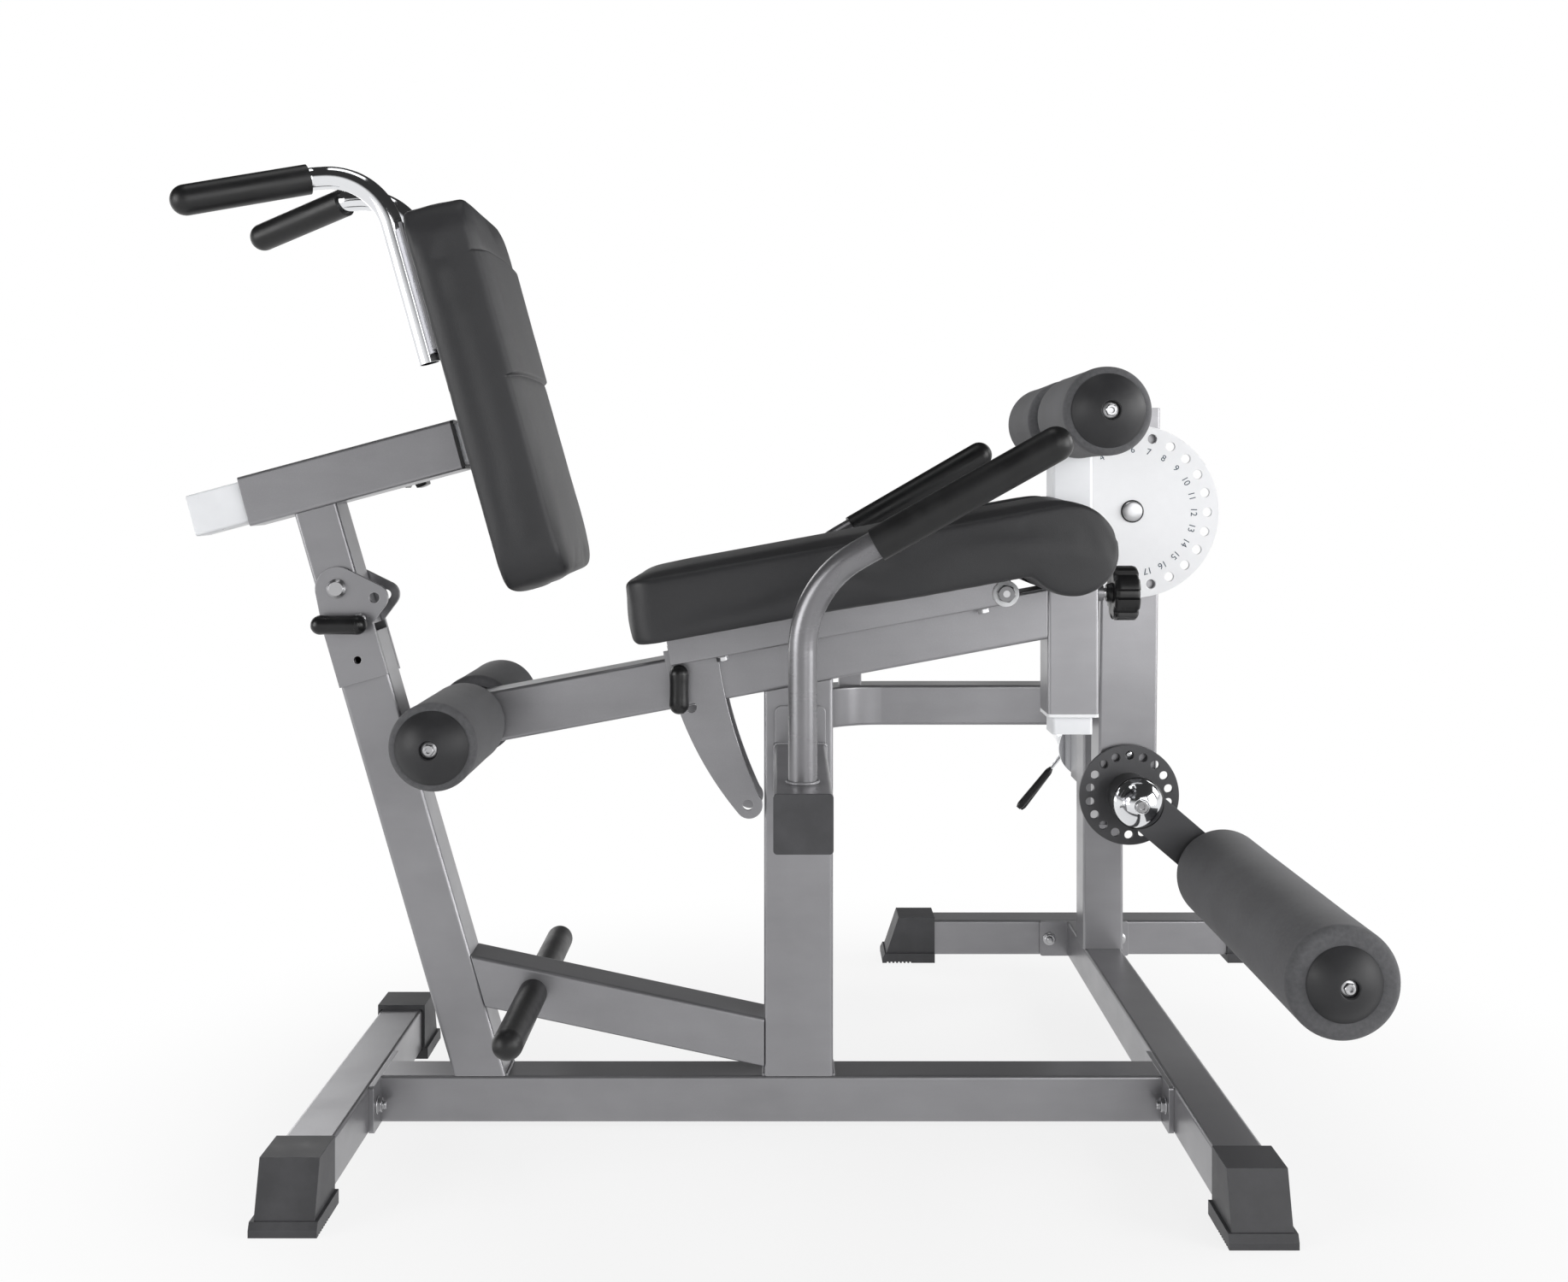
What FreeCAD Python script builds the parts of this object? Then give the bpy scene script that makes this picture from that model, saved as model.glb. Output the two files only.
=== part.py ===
import FreeCAD
import Part
import Sketcher
import math
import os
import re

os.makedirs("parts", exist_ok=True)
doc = FreeCAD.newDocument("LegMachine")
Vector = FreeCAD.Vector
Rotation = FreeCAD.Rotation
Placement = FreeCAD.Placement

# Driving sizes in millimetres and degrees.
# X runs forward to the legs, Y to the far side with the column, Z up, X = 0 near the mid post.
SIZES = {
    # floor frame
    "floor_tube": 55.0,
    "tube_wall": 2.5,
    "tube_corner": 4.0,
    "sole_height": 11.0,
    "rear_crossbar_x": -511.5,
    "rear_crossbar_half": 275.0,
    "front_crossbar_x": 482.0,
    "front_crossbar_near": 302.0,
    "outrigger_x": 477.0,
    "outrigger_y": 704.0,
    "outrigger_half": 287.0,
    "plate_thick": 6.0,
    "base_plate_width": 128.0,
    "base_bolt_offset": 45.0,
    "outrigger_plate_width": 142.0,
    "outrigger_bolt_offset": 56.0,
    "bolt_radius": 5.0,
    "bolt_clearance": 0.5,
    "bolt_head_radius": 9.0,
    "bolt_head_height": 6.5,
    "bolt_tail": 6.0,
    "foot_wall": 6.0,
    "foot_side_wall": 3.8,
    "foot_grip": 52.0,
    "foot_overhang": 22.0,
    "sole_lip": 4.0,
    "sole_lip_height": 15.0,
    "sole_groove": 3.0,
    "sole_groove_depth": 2.0,
    # uprights and brace
    "mid_post_across": 82.0,
    "post_deep": 55.0,
    "hinge_x": -529.4,
    "hinge_z": 645.0,
    "rear_lean": 16.2,
    "rear_post_across": 59.5,
    "rear_post_gap": 61.0,
    "brace_tube": 57.0,
    "brace_end_z": 105.8,
    "brace_slope": 12.1,
    "peg_x": -298.0,
    "peg_radius": 17.0,
    "peg_rod_radius": 12.5,
    "peg_length": 197.0,
    # seat beam and its rear rollers
    "beam_tube": 60.0,
    "rear_axis_x": -377.0,
    "rear_axis_z": 486.5,
    "beam_slope": 10.6,
    "beam_tail": 38.0,
    "roller_shaft_radius": 12.5,
    "running_gap": 0.05,
    "core_wall": 4.0,
    "roller_radius": 48.5,
    "roller_start": 33.0,
    "roller_length": 190.0,
    "roller_edge": 8.0,
    "cap_radius": 40.0,
    "cap_dome": 20.0,
    "cap_recess": 10.0,
    "cap_back": 2.5,
    "roller_bolt_radius": 8.0,
    # sliding thigh post
    "sleeve_tube": 61.0,
    "sleeve_x": 343.0,
    "sleeve_low": 496.0,
    "sleeve_high": 666.0,
    "liner_lip": 4.0,
    "slide_gap": 0.3,
    "thigh_tube": 48.0,
    "thigh_low": 471.0,
    "thigh_axis_z": 847.5,
    "thigh_above": 26.0,
    "thigh_axis_ahead": 4.0,
    # knobs and lock pins
    "knob_radius": 33.0,
    "knob_height": 30.0,
    "knob_standoff": 20.0,
    "knob_z": 638.0,
    "knob_pin_radius": 6.0,
    "knob_collar_radius": 10.0,
    "flute_radius": 5.0,
    "pin_radius": 5.0,
    "pin_clearance": 0.6,
    "lock_travel": 3.0,
    "grip_radius": 11.5,
    "grip_neck": 7.0,
    "fold_grip_length": 66.0,
    "fold_grip_drop": 6.0,
    "seat_grip_length": 58.0,
    "seat_grip_drop": 2.4,
    # side handles
    "bracket_tube": 60.0,
    "bracket_z": 431.0,
    "bracket_end": 348.0,
    "bracket_plate_height": 150.0,
    "bracket_plate_thick": 4.0,
    "cap_thick": 3.0,
    "handle_ahead": 2.0,
    "handle_y": 287.0,
    "handle_radius": 15.0,
    "handle_wall": 2.0,
    "handle_corner_z": 663.5,
    "handle_bend": 112.0,
    "handle_rise": 29.5,
    "handle_splay": 9.6,
    "handle_reach": 296.0,
    "grip_start": 88.0,
    "side_grip_radius": 18.0,
    "weld_ring": 2.5,
    # far side brace and column
    "brace_z": 434.5,
    "column_y": 542.0,
    "column_tube": 60.5,
    "column_top": 788.5,
    "brace_bend": 130.0,
    "stub_x": 100.0,
    "stub_y": 515.0,
    "stub_tube": 34.0,
    "stub_height": 82.0,
    # exercise arm
    "pivot_x": 482.0,
    "pivot_z": 731.0,
    "housing_radius": 30.0,
    "housing_wall": 4.0,
    "housing_near": 386.0,
    "housing_far": 576.0,
    "bush_length": 22.0,
    "main_shaft_radius": 15.0,
    "dial_near": 302.0,
    "dial_thick": 6.0,
    "dial_radius": 120.0,
    "dial_hole_circle": 104.0,
    "dial_hole_radius": 6.5,
    "dial_step": 15.0,
    "hub_bolt_radius": 14.0,
    "hub_bolt_height": 4.0,
    "lever_lean": 0.6,
    "lever_across": 81.0,
    "lever_deep": 60.0,
    "lever_gap": 6.0,
    "lever_top": 141.0,
    "lever_bottom": 434.0,
    "lever_hub_radius": 24.0,
    "shin_drop": 393.0,
    "shin_shaft_radius": 12.0,
    "disc_radius": 69.0,
    "disc_hole_circle": 55.0,
    "disc_hole_radius": 6.0,
    "disc_step": 20.0,
    "disc_hub_radius": 31.0,
    "shin_arm_near": 244.0,
    "shin_arm_thick": 12.0,
    "shin_arm_width": 57.0,
    "shin_arm_length": 145.7,
    "shin_arm_drop": 40.5,
    "dome_radius": 34.0,
    "dome_height": 27.0,
    "shin_roller_radius": 62.0,
    "shin_roller_near": 256.0,
    "shin_roller_far": 240.0,
    "shin_cap_radius": 41.0,
    "weight_arm_tube": 55.0,
    "weight_arm_y": 611.0,
    "weight_arm_low": 309.0,
    "weight_arm_above": 34.0,
    "horn_z": 349.0,
    "horn_radius": 25.0,
    "horn_length": 200.0,
    "horn_flange_radius": 46.0,
    "horn_flange_thick": 6.0,
    "horn_wall": 3.0,
    "collar_start": 96.0,
    "collar_wall": 5.0,
    "collar_length": 34.0,
    "collar_rod_radius": 3.0,
    "collar_neck": 36.0,
    "collar_grip_length": 86.0,
    "collar_lean": 50.0,
    "collar_spread": 3.0,
    # backrest hinge
    "hinge_plate_thick": 5.0,
    "hinge_head": 26.0,
    "hinge_plate_low": 114.0,
    "hinge_shoulder": 42.0,
    "web_top": 31.0,
    "ear_forward": 39.5,
    "ear_down": 22.6,
    "ear_radius": 16.0,
    "ear_hole_radius": 6.0,
    "ear_root": 50.0,
    "hinge_bolt_radius": 8.0,
    "hinge_bolt_head": 11.5,
    "lock_forward": 17.6,
    "lock_down": 42.0,
    "spare_hole_down": 88.0,
    "spare_hole_radius": 4.5,
    "upper_post_tube": 51.8,
    "upper_post_deep": 54.0,
    "upper_post_tail": 52.0,
    # backrest slide and pad
    "back_slope": 15.0,
    "back_sleeve_x": -519.5,
    "back_sleeve_z": 780.5,
    "back_sleeve_rear": 126.0,
    "back_sleeve_front": 135.0,
    "back_tube": 50.0,
    "back_tube_rear": 192.0,
    "back_knob_along": 62.0,
    "pad_lean": 15.6,
    "back_pad_x": -315.5,
    "back_pad_z": 641.0,
    "back_pad_length": 458.0,
    "back_pad_half": 137.0,
    "back_pad_thick": 78.0,
    "back_pad_round": 9.0,
    "back_pad_corner": 42.0,
    "back_pad_crown": 5.0,
    "band_low": 241.0,
    "band_high": 386.0,
    "band_thick": 4.0,
    "back_plate_narrow": 60.0,
    "back_plate_wide": 112.0,
    "back_plate_low": 90.0,
    "back_plate_step": 293.0,
    "back_plate_top": 443.0,
    "back_plate_thick": 4.0,
    "back_handle_y": 77.0,
    "back_handle_radius": 13.0,
    "back_handle_wall": 2.0,
    "back_handle_off": 18.5,
    "back_handle_low": 283.0,
    "back_handle_corner": 510.0,
    "back_handle_bend": 75.0,
    "back_handle_knee_x": -545.0,
    "back_handle_knee_z": 1122.5,
    "back_handle_knee_bend": 20.0,
    "back_handle_tip_x": -669.4,
    "back_handle_tip_y": 140.6,
    "back_handle_tip_z": 1087.0,
    "back_grip_radius": 17.5,
    "back_grip_length": 156.0,
    "back_tab": 26.0,
    # seat
    "seat_slope": 10.4,
    "seat_rear_x": -173.0,
    "seat_rear_z": 581.3,
    "seat_thick": 79.5,
    "seat_round": 9.0,
    "seat_crown": 4.0,
    "seat_roll_along": 505.7,
    "seat_roll_up": 24.5,
    "seat_roll_radius": 55.0,
    "seat_half_rear": 140.0,
    "seat_half_front": 168.0,
    "seat_corner": 34.0,
    "seat_flare_start": 218.0,
    "seat_flare_end": 334.0,
    "notch_start": 420.0,
    "notch_half": 36.0,
    "rail_half_gap": 34.6,
    "rail_width": 25.0,
    "rail_height": 32.0,
    "rail_start": 36.0,
    "rail_end": 444.0,
    "seat_pivot_x": 259.0,
    "seat_pivot_z": 641.0,
    "seat_bolt_rear": 96.0,
    "seat_bolt_front": 408.0,
    "washer_radius": 15.0,
    "washer_thick": 2.5,
    "pivot_bolt_radius": 6.0,
    "quadrant_radius": 393.0,
    "quadrant_to_post": 60.017,
    "quadrant_outer": 15.0,
    "quadrant_inner": 49.0,
    "quadrant_inner_mid": 38.0,
    "quadrant_tip": 17.0,
    "quadrant_thick": 4.0,
    "quadrant_side_gap": 0.6,
    "lock_angle": 13.7,
    "first_step": 6.6,
    "last_step": 26.15,
    "quadrant_hole_radius": 6.2,
    # one overrun for every cut, and the reach of every trimming block
    "overrun": 2.0,
    "trim_reach": 260.0,
}

# Shares, without a unit
PAD_SECTION_SHARES = (0.0, 0.3, 1.0)
ROLL_STATION_SHARES = (-0.9, -0.6, -0.25, 0.1, 0.4, 0.66, 0.86, 0.97)
HALF = 0.5


class Size(float):
    # A number that also remembers how the sheet writes it.
    def __new__(cls, value, text):
        size = super().__new__(cls, value)
        size.text = text
        return size

    def joined(self, other, sign, value, swapped=False):
        first, second = as_text(self), as_text(other)
        if swapped:
            first, second = second, first
        return Size(value, f"({first} {sign} {second})")

    def __add__(self, other):
        return self.joined(other, "+", float(self) + float(other))

    def __radd__(self, other):
        return self.joined(other, "+", float(self) + float(other), swapped=True)

    def __sub__(self, other):
        return self.joined(other, "-", float(self) - float(other))

    def __rsub__(self, other):
        return self.joined(other, "-", float(other) - float(self), swapped=True)

    def __mul__(self, other):
        return self.joined(other, "*", float(self) * float(other))

    def __rmul__(self, other):
        return self.joined(other, "*", float(self) * float(other), swapped=True)

    def __truediv__(self, other):
        return self.joined(other, "/", float(self) / float(other))

    def __neg__(self):
        return Size(-float(self), f"(0 - {self.text})")


def as_text(value):
    return value.text if isinstance(value, Size) else repr(float(value))


class Named:
    # The driving sizes as attributes.
    pass


def write_sheet(name, values):
    sheet = doc.addObject("Spreadsheet::Sheet", name)
    for row, (alias, value) in enumerate(values.items(), start=1):
        sheet.set(f"A{row}", alias)
        sheet.set(f"B{row}", str(value))
        sheet.setAlias(f"B{row}", alias)
    return sheet


write_sheet("Sizes", SIZES)
doc.recompute()
s = Named()
for alias, value in SIZES.items():
    setattr(s, alias, Size(value, f"Sizes.{alias}"))

# Places that follow from the sizes, so that the posts keep clear of the swinging quadrants
s.mid_post_x = s.seat_pivot_x - s.quadrant_radius * math.cos(math.radians(s.lock_angle + s.last_step))
s.mid_post_x = s.mid_post_x + s.quadrant_to_post
s.handle_x = s.mid_post_x + s.handle_ahead
s.thigh_axis_x = s.sleeve_x + s.thigh_axis_ahead

nodes = []


def bind(feature, path, value):
    # Sizes follow the sheet, worked out numbers are written as they are.
    if isinstance(value, Size):
        feature.setExpression(path, value.text)
    else:
        feature.setExpression(path, repr(float(value)))


def node(feature, label):
    feature.Label = label
    nodes.append(feature)
    return feature


def new_body(label):
    body = doc.addObject("PartDesign::Body", label)
    body.Label = label + "_body"
    return body


def new_sketch(body, role="XY_Plane", offset=0.0):
    plane = next(item for item in body.Origin.OriginFeatures if item.Role == role)
    sketch = body.newObject("Sketcher::SketchObject", body.Name + "_sketch")
    sketch.AttachmentSupport = [(plane, "")]
    sketch.MapMode = "FlatFace"
    if offset:
        bind(sketch, ".AttachmentOffset.Base.z", offset)
    return sketch


def set_length(sketch, kind, *items):
    # The last item is the value of the constraint.
    index = sketch.addConstraint(Sketcher.Constraint(kind, *items[:-1], float(items[-1])))
    bind(sketch, f"Constraints[{index}]", items[-1])


def fix_point(sketch, geometry, position, x, y):
    for kind, axis, value in (("DistanceX", -2, x), ("DistanceY", -1, y)):
        if abs(float(value)) < 1e-9:
            sketch.addConstraint(Sketcher.Constraint("PointOnObject", geometry, position, axis))
        else:
            set_length(sketch, kind, -1, 1, geometry, position, value)


def draw_circle(sketch, x, y, radius):
    circle = Part.Circle(Vector(x, y, 0), Vector(0, 0, 1), float(radius))
    geometry = sketch.addGeometry(circle)
    fix_point(sketch, geometry, 3, x, y)
    set_length(sketch, "Radius", geometry, radius)


def draw_rectangle(sketch, across, deep, radius):
    # A rectangle centred on the sketch's origin, with round corners.
    a, d, r = float(across) / 2, float(deep) / 2, float(radius)
    ends = [((-a + r, -d), (a - r, -d)), ((a, -d + r), (a, d - r)),
            ((a - r, d), (-a + r, d)), ((-a, d - r), (-a, -d + r))]
    centres = [(a - r, -d + r), (a - r, d - r), (-a + r, d - r), (-a + r, -d + r)]
    sides = [sketch.addGeometry(Part.LineSegment(Vector(*p, 0), Vector(*q, 0))) for p, q in ends]
    corners = []
    for turn, centre in enumerate(centres):
        circle = Part.Circle(Vector(*centre, 0), Vector(0, 0, 1), r)
        start = math.pi / 2 * (turn - 1)
        corners.append(sketch.addGeometry(Part.ArcOfCircle(circle, start, start + math.pi / 2)))
    for turn in range(4):
        sketch.addConstraint(Sketcher.Constraint("Tangent", sides[turn], 2, corners[turn], 1))
        following = sides[(turn + 1) % 4]
        sketch.addConstraint(Sketcher.Constraint("Tangent", corners[turn], 2, following, 1))
    for turn in (1, 2, 3):
        sketch.addConstraint(Sketcher.Constraint("Equal", corners[0], corners[turn]))
    sketch.addConstraint(Sketcher.Constraint("Horizontal", sides[0]))
    sketch.addConstraint(Sketcher.Constraint("Vertical", sides[1]))
    sketch.addConstraint(Sketcher.Constraint("Horizontal", sides[2]))
    sketch.addConstraint(Sketcher.Constraint("Vertical", sides[3]))
    sketch.addConstraint(Sketcher.Constraint("Symmetric", sides[0], 1, sides[2], 1, -1, 1))
    set_length(sketch, "DistanceX", sides[3], 1, sides[1], 1, across)
    set_length(sketch, "DistanceY", sides[0], 1, sides[2], 2, deep)
    set_length(sketch, "Radius", corners[0], radius)


def draw_outline(sketch, points):
    # Points are (x, y), or (x, y, mid_x, mid_y) for an arc that arrives through a middle point.
    count = len(points)
    first = sketch.GeometryCount
    ends = []
    for turn in range(count):
        start, end = points[turn], points[(turn + 1) % count]
        begin = Vector(start[0], start[1], 0)
        finish = Vector(end[0], end[1], 0)
        if len(end) == 4:
            arc, order = draw_arc(begin, Vector(end[2], end[3], 0), finish)
            sketch.addGeometry(arc)
            ends.append(order)
        else:
            sketch.addGeometry(Part.LineSegment(begin, finish))
            ends.append((1, 2))
    for turn in range(count):
        here, there = first + turn, first + (turn + 1) % count
        start_of_next = ends[(turn + 1) % count][0]
        sketch.addConstraint(Sketcher.Constraint("Coincident", here, ends[turn][1], there, start_of_next))
        fix_point(sketch, here, ends[turn][1], points[(turn + 1) % count][0], points[(turn + 1) % count][1])
    for turn in range(count):
        if len(points[(turn + 1) % count]) == 4:
            hold_centre(sketch, first + turn, points[turn], points[(turn + 1) % count])


def draw_arc(begin, through, finish):
    # An arc in a sketch runs anticlockwise, so its ends are given in the order it holds them.
    circle = Part.Arc(begin, through, finish).toShape().Curve
    centre, radius = circle.Center, circle.Radius
    left_turn = (through - begin).cross(finish - through).z > 0
    start, end = (begin, finish) if left_turn else (finish, begin)
    first = math.atan2(start.y - centre.y, start.x - centre.x)
    last = math.atan2(end.y - centre.y, end.x - centre.x)
    if last < first:
        last += math.tau
    full = Part.Circle(centre, Vector(0, 0, 1), radius)
    return Part.ArcOfCircle(full, first, last), ((1, 2) if left_turn else (2, 1))


def hold_centre(sketch, geometry, start, end):
    # With both ends fixed, an arc's centre is left free only along the bisector of its chord.
    centre = sketch.Geometry[geometry].Center
    sideways = abs(end[1] - start[1]) > abs(end[0] - start[0])
    kind, axis, value = ("DistanceX", -2, centre.x) if sideways else ("DistanceY", -1, centre.y)
    if abs(value) < 1e-7:
        sketch.addConstraint(Sketcher.Constraint("PointOnObject", geometry, 3, axis))
    else:
        set_length(sketch, kind, -1, 1, geometry, 3, value)


def extrude(body, sketch, length, both=False, back=False):
    pad = body.newObject("PartDesign::Pad", body.Name + "_pad")
    pad.Profile = sketch
    bind(pad, "Length", length)
    pad.SideType = "Symmetric" if both else "One side"
    pad.Reversed = back
    body.Tip = pad
    return pad


def cut_through(body, sketch):
    pocket = body.newObject("PartDesign::Pocket", body.Name + "_pocket")
    pocket.Profile = sketch
    pocket.Type = "ThroughAll"
    pocket.SideType = "Symmetric"
    body.Tip = pocket
    return pocket


def cut_depth(body, sketch, depth, back=False):
    pocket = body.newObject("PartDesign::Pocket", body.Name + "_pocket")
    pocket.Profile = sketch
    bind(pocket, "Length", depth)
    pocket.Reversed = back
    body.Tip = pocket
    return pocket


def round_edges(body, feature, names, radius):
    fillet = body.newObject("PartDesign::Fillet", body.Name + "_fillet")
    fillet.Base = (feature, names)
    bind(fillet, "Radius", radius)
    body.Tip = fillet
    return fillet


def place(feature, x, y, z, rotation=Rotation()):
    feature.Placement = Placement(Vector(x, y, z), rotation)
    return feature


def aimed(along, across):
    # The rotation that turns local Z along the first direction and local X near the second.
    return Rotation(Vector(*across), Vector(), Vector(*along), "ZXY")


def heading(slope):
    # The direction in the X and Z plane that rises by this angle.
    angle = math.radians(slope)
    return (math.cos(angle), 0, math.sin(angle))


def lean_axis(lean):
    # The direction that leans rearward from the vertical by this angle.
    angle = math.radians(lean)
    return (-math.sin(angle), 0, math.cos(angle))


def tube(label, length, across, deep, wall, corner):
    body = new_body(label)
    sketch = new_sketch(body)
    draw_rectangle(sketch, across, deep, corner)
    draw_rectangle(sketch, across - wall * 2, deep - wall * 2, corner * HALF)
    extrude(body, sketch, length)
    return body


def block(label, length, across, deep, corner):
    body = new_body(label)
    sketch = new_sketch(body)
    draw_rectangle(sketch, across, deep, corner)
    extrude(body, sketch, length)
    return body


def rod(label, length, radius, bore=None):
    body = new_body(label)
    sketch = new_sketch(body)
    draw_circle(sketch, 0, 0, radius)
    if bore is not None:
        draw_circle(sketch, 0, 0, bore)
    extrude(body, sketch, length)
    return body


def plate(label, points, thick, holes=()):
    # A side view outline in X and Z, as thick as given on both sides of its own middle.
    body = new_body(label)
    sketch = new_sketch(body, "XZ_Plane")
    draw_outline(sketch, points)
    for x, y, radius in holes:
        draw_circle(sketch, x, y, radius)
    extrude(body, sketch, thick, both=True)
    return body


def turned(label, points):
    # A profile of radius and height turned about local Z.
    body = new_body(label)
    sketch = new_sketch(body, "XZ_Plane")
    draw_outline(sketch, points)
    spin = body.newObject("PartDesign::Revolution", body.Name + "_turn")
    spin.Profile = sketch
    spin.ReferenceAxis = (sketch, ["V_Axis"])
    spin.Angle = 360
    body.Tip = spin
    return body


def half_space(label, point, normal):
    # A block whose face lies on the point and which fills the side that the normal points to.
    box = doc.addObject("Part::Box", label + "_trim")
    bind(box, "Length", s.trim_reach * 2)
    bind(box, "Width", s.trim_reach * 2)
    bind(box, "Height", s.trim_reach)
    rotation = aimed(normal, (0, 1, 0))
    corner = rotation.multVec(Vector(-s.trim_reach, -s.trim_reach, 0))
    box.Placement = Placement(Vector(*point) + corner, rotation)
    return box


def drill(label, start, along, length, radius):
    cylinder = doc.addObject("Part::Cylinder", label + "_drill")
    bind(cylinder, "Radius", radius)
    bind(cylinder, "Height", length)
    side = (0, 1, 0) if abs(along[1]) < HALF else (1, 0, 0)
    cylinder.Placement = Placement(Vector(*start), aimed(along, side))
    return cylinder


def cut_away(label, base, tools):
    tool = tools[0]
    if len(tools) > 1:
        tool = doc.addObject("Part::MultiFuse", label + "_tools")
        tool.Shapes = tools
    cut = doc.addObject("Part::Cut", label)
    cut.Base = base
    cut.Tool = tool
    return cut


def group(label, pieces):
    compound = doc.addObject("Part::Compound", label)
    compound.Links = pieces
    return compound


def cross_drill(label, x, z, radius, near, far):
    # A hole along Y at one place of the side view.
    return drill(label, (x, near, z), (0, 1, 0), far - near, radius)


def turned_along_y(label, points, x, y, z, outward=1):
    # A turned piece whose height runs along +Y or -Y.
    return place(turned(label, points), x, y, z, aimed((0, outward, 0), (1, 0, 0)))


def bent_tube(label, points, bends, radius, wall):
    # Straight runs from point to point, with a bend of its own radius at each inner one.
    spots = [Vector(*point) for point in points]
    edges, here = [], spots[0]
    for before, corner, after, bend in zip(spots, spots[1:], spots[2:], bends):
        first = (before - corner).normalize()
        second = (after - corner).normalize()
        half_turn = (math.pi - first.getAngle(second)) / 2
        back = float(bend) * math.tan(half_turn)
        inward = (first + second).normalize()
        middle = corner + inward * (float(bend) / math.cos(half_turn) - float(bend))
        enter, leave = corner + first * back, corner + second * back
        edges.append(Part.LineSegment(here, enter).toShape())
        edges.append(Part.Arc(enter, middle, leave).toShape())
        here = leave
    edges.append(Part.LineSegment(here, spots[-1]).toShape())
    shapes = []
    for size in (radius, radius - wall):
        ring = Part.Wire([Part.Circle(spots[0], spots[1] - spots[0], float(size)).toShape()])
        shapes.append(Part.Wire(edges).makePipeShell([ring], True, False))
    feature = doc.addObject("Part::Feature", label)
    feature.Shape = shapes[0].cut(shapes[1])
    return feature


# Places that several pieces share
floor_top = s.sole_height + s.floor_tube
floor_mid = s.sole_height + s.floor_tube * HALF
up = lean_axis(s.rear_lean)
forward = heading(s.rear_lean)
beam_dir = heading(s.beam_slope)
beam_normal = lean_axis(s.beam_slope)
seat_dir = heading(s.seat_slope)
seat_normal = lean_axis(s.seat_slope)
back_dir = heading(s.back_slope)
back_normal = lean_axis(s.back_slope)
pad_up = lean_axis(s.pad_lean)
pad_front = heading(s.pad_lean)
lever_near = s.dial_near + s.dial_thick + s.lever_gap
weight_near = s.weight_arm_y - s.weight_arm_tube * HALF


def along(point, *steps):
    # A point moved by distances along directions, as numbers.
    place_ = Vector(*point)
    for direction, distance in steps:
        place_ = place_ + Vector(*direction) * float(distance)
    return (place_.x, place_.y, place_.z)


def on_hinge(ahead, height, y=0):
    # A place given from the hinge bolt, forward of the rear post's axis and up along it.
    return along((s.hinge_x, y, s.hinge_z), (forward, ahead), (up, height))


def on_lever(ahead, height, y):
    # A place given from the main pivot in the frame of the leaning lever.
    lean = math.radians(s.lever_lean)
    x = s.pivot_x + ahead * math.cos(lean) + height * math.sin(lean)
    z = s.pivot_z - ahead * math.sin(lean) + height * math.cos(lean)
    return (x, y, z)


def on_seat(ahead, height, y=0):
    return along((s.seat_rear_x, y, s.seat_rear_z), (seat_dir, ahead), (seat_normal, height))


def on_back(width, height, depth):
    # A place on the backrest pad, from the lower edge of its back face.
    return along((s.back_pad_x, width, s.back_pad_z), (pad_up, height), (pad_front, depth))


def hexagon(label, radius, height):
    # A hexagonal bolt head or nut, its corners on the radius.
    body = new_body(label)
    sketch = new_sketch(body)
    sides = 6
    angles = [math.tau * turn / sides for turn in range(sides)]
    draw_outline(sketch, [(radius * math.cos(angle), radius * math.sin(angle)) for angle in angles])
    extrude(body, sketch, height)
    return body


def bolt_set(label, x, y, z, direction, grip):
    # A hex bolt from its head's seat along a direction, and its nut at the other end of the grip.
    length = grip + s.bolt_tail + s.bolt_head_height
    shank = hexagon(label + "_head", s.bolt_head_radius, s.bolt_head_height)
    sketch = new_sketch(shank, "XY_Plane")
    draw_circle(sketch, 0, 0, s.bolt_radius)
    extrude(shank, sketch, length, back=True)
    side = (0, 1, 0) if abs(direction[1]) < HALF else (1, 0, 0)
    backward = tuple(-value for value in direction)
    place(shank, x, y, z, aimed(backward, side))
    nut = hexagon(label + "_nut", s.bolt_head_radius, s.bolt_head_height)
    hole = new_sketch(nut, "XY_Plane")
    draw_circle(hole, 0, 0, s.bolt_radius)
    cut_through(nut, hole)
    place(nut, *along((x, y, z), (direction, grip)), aimed(direction, side))
    return [shank, nut]


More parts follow.
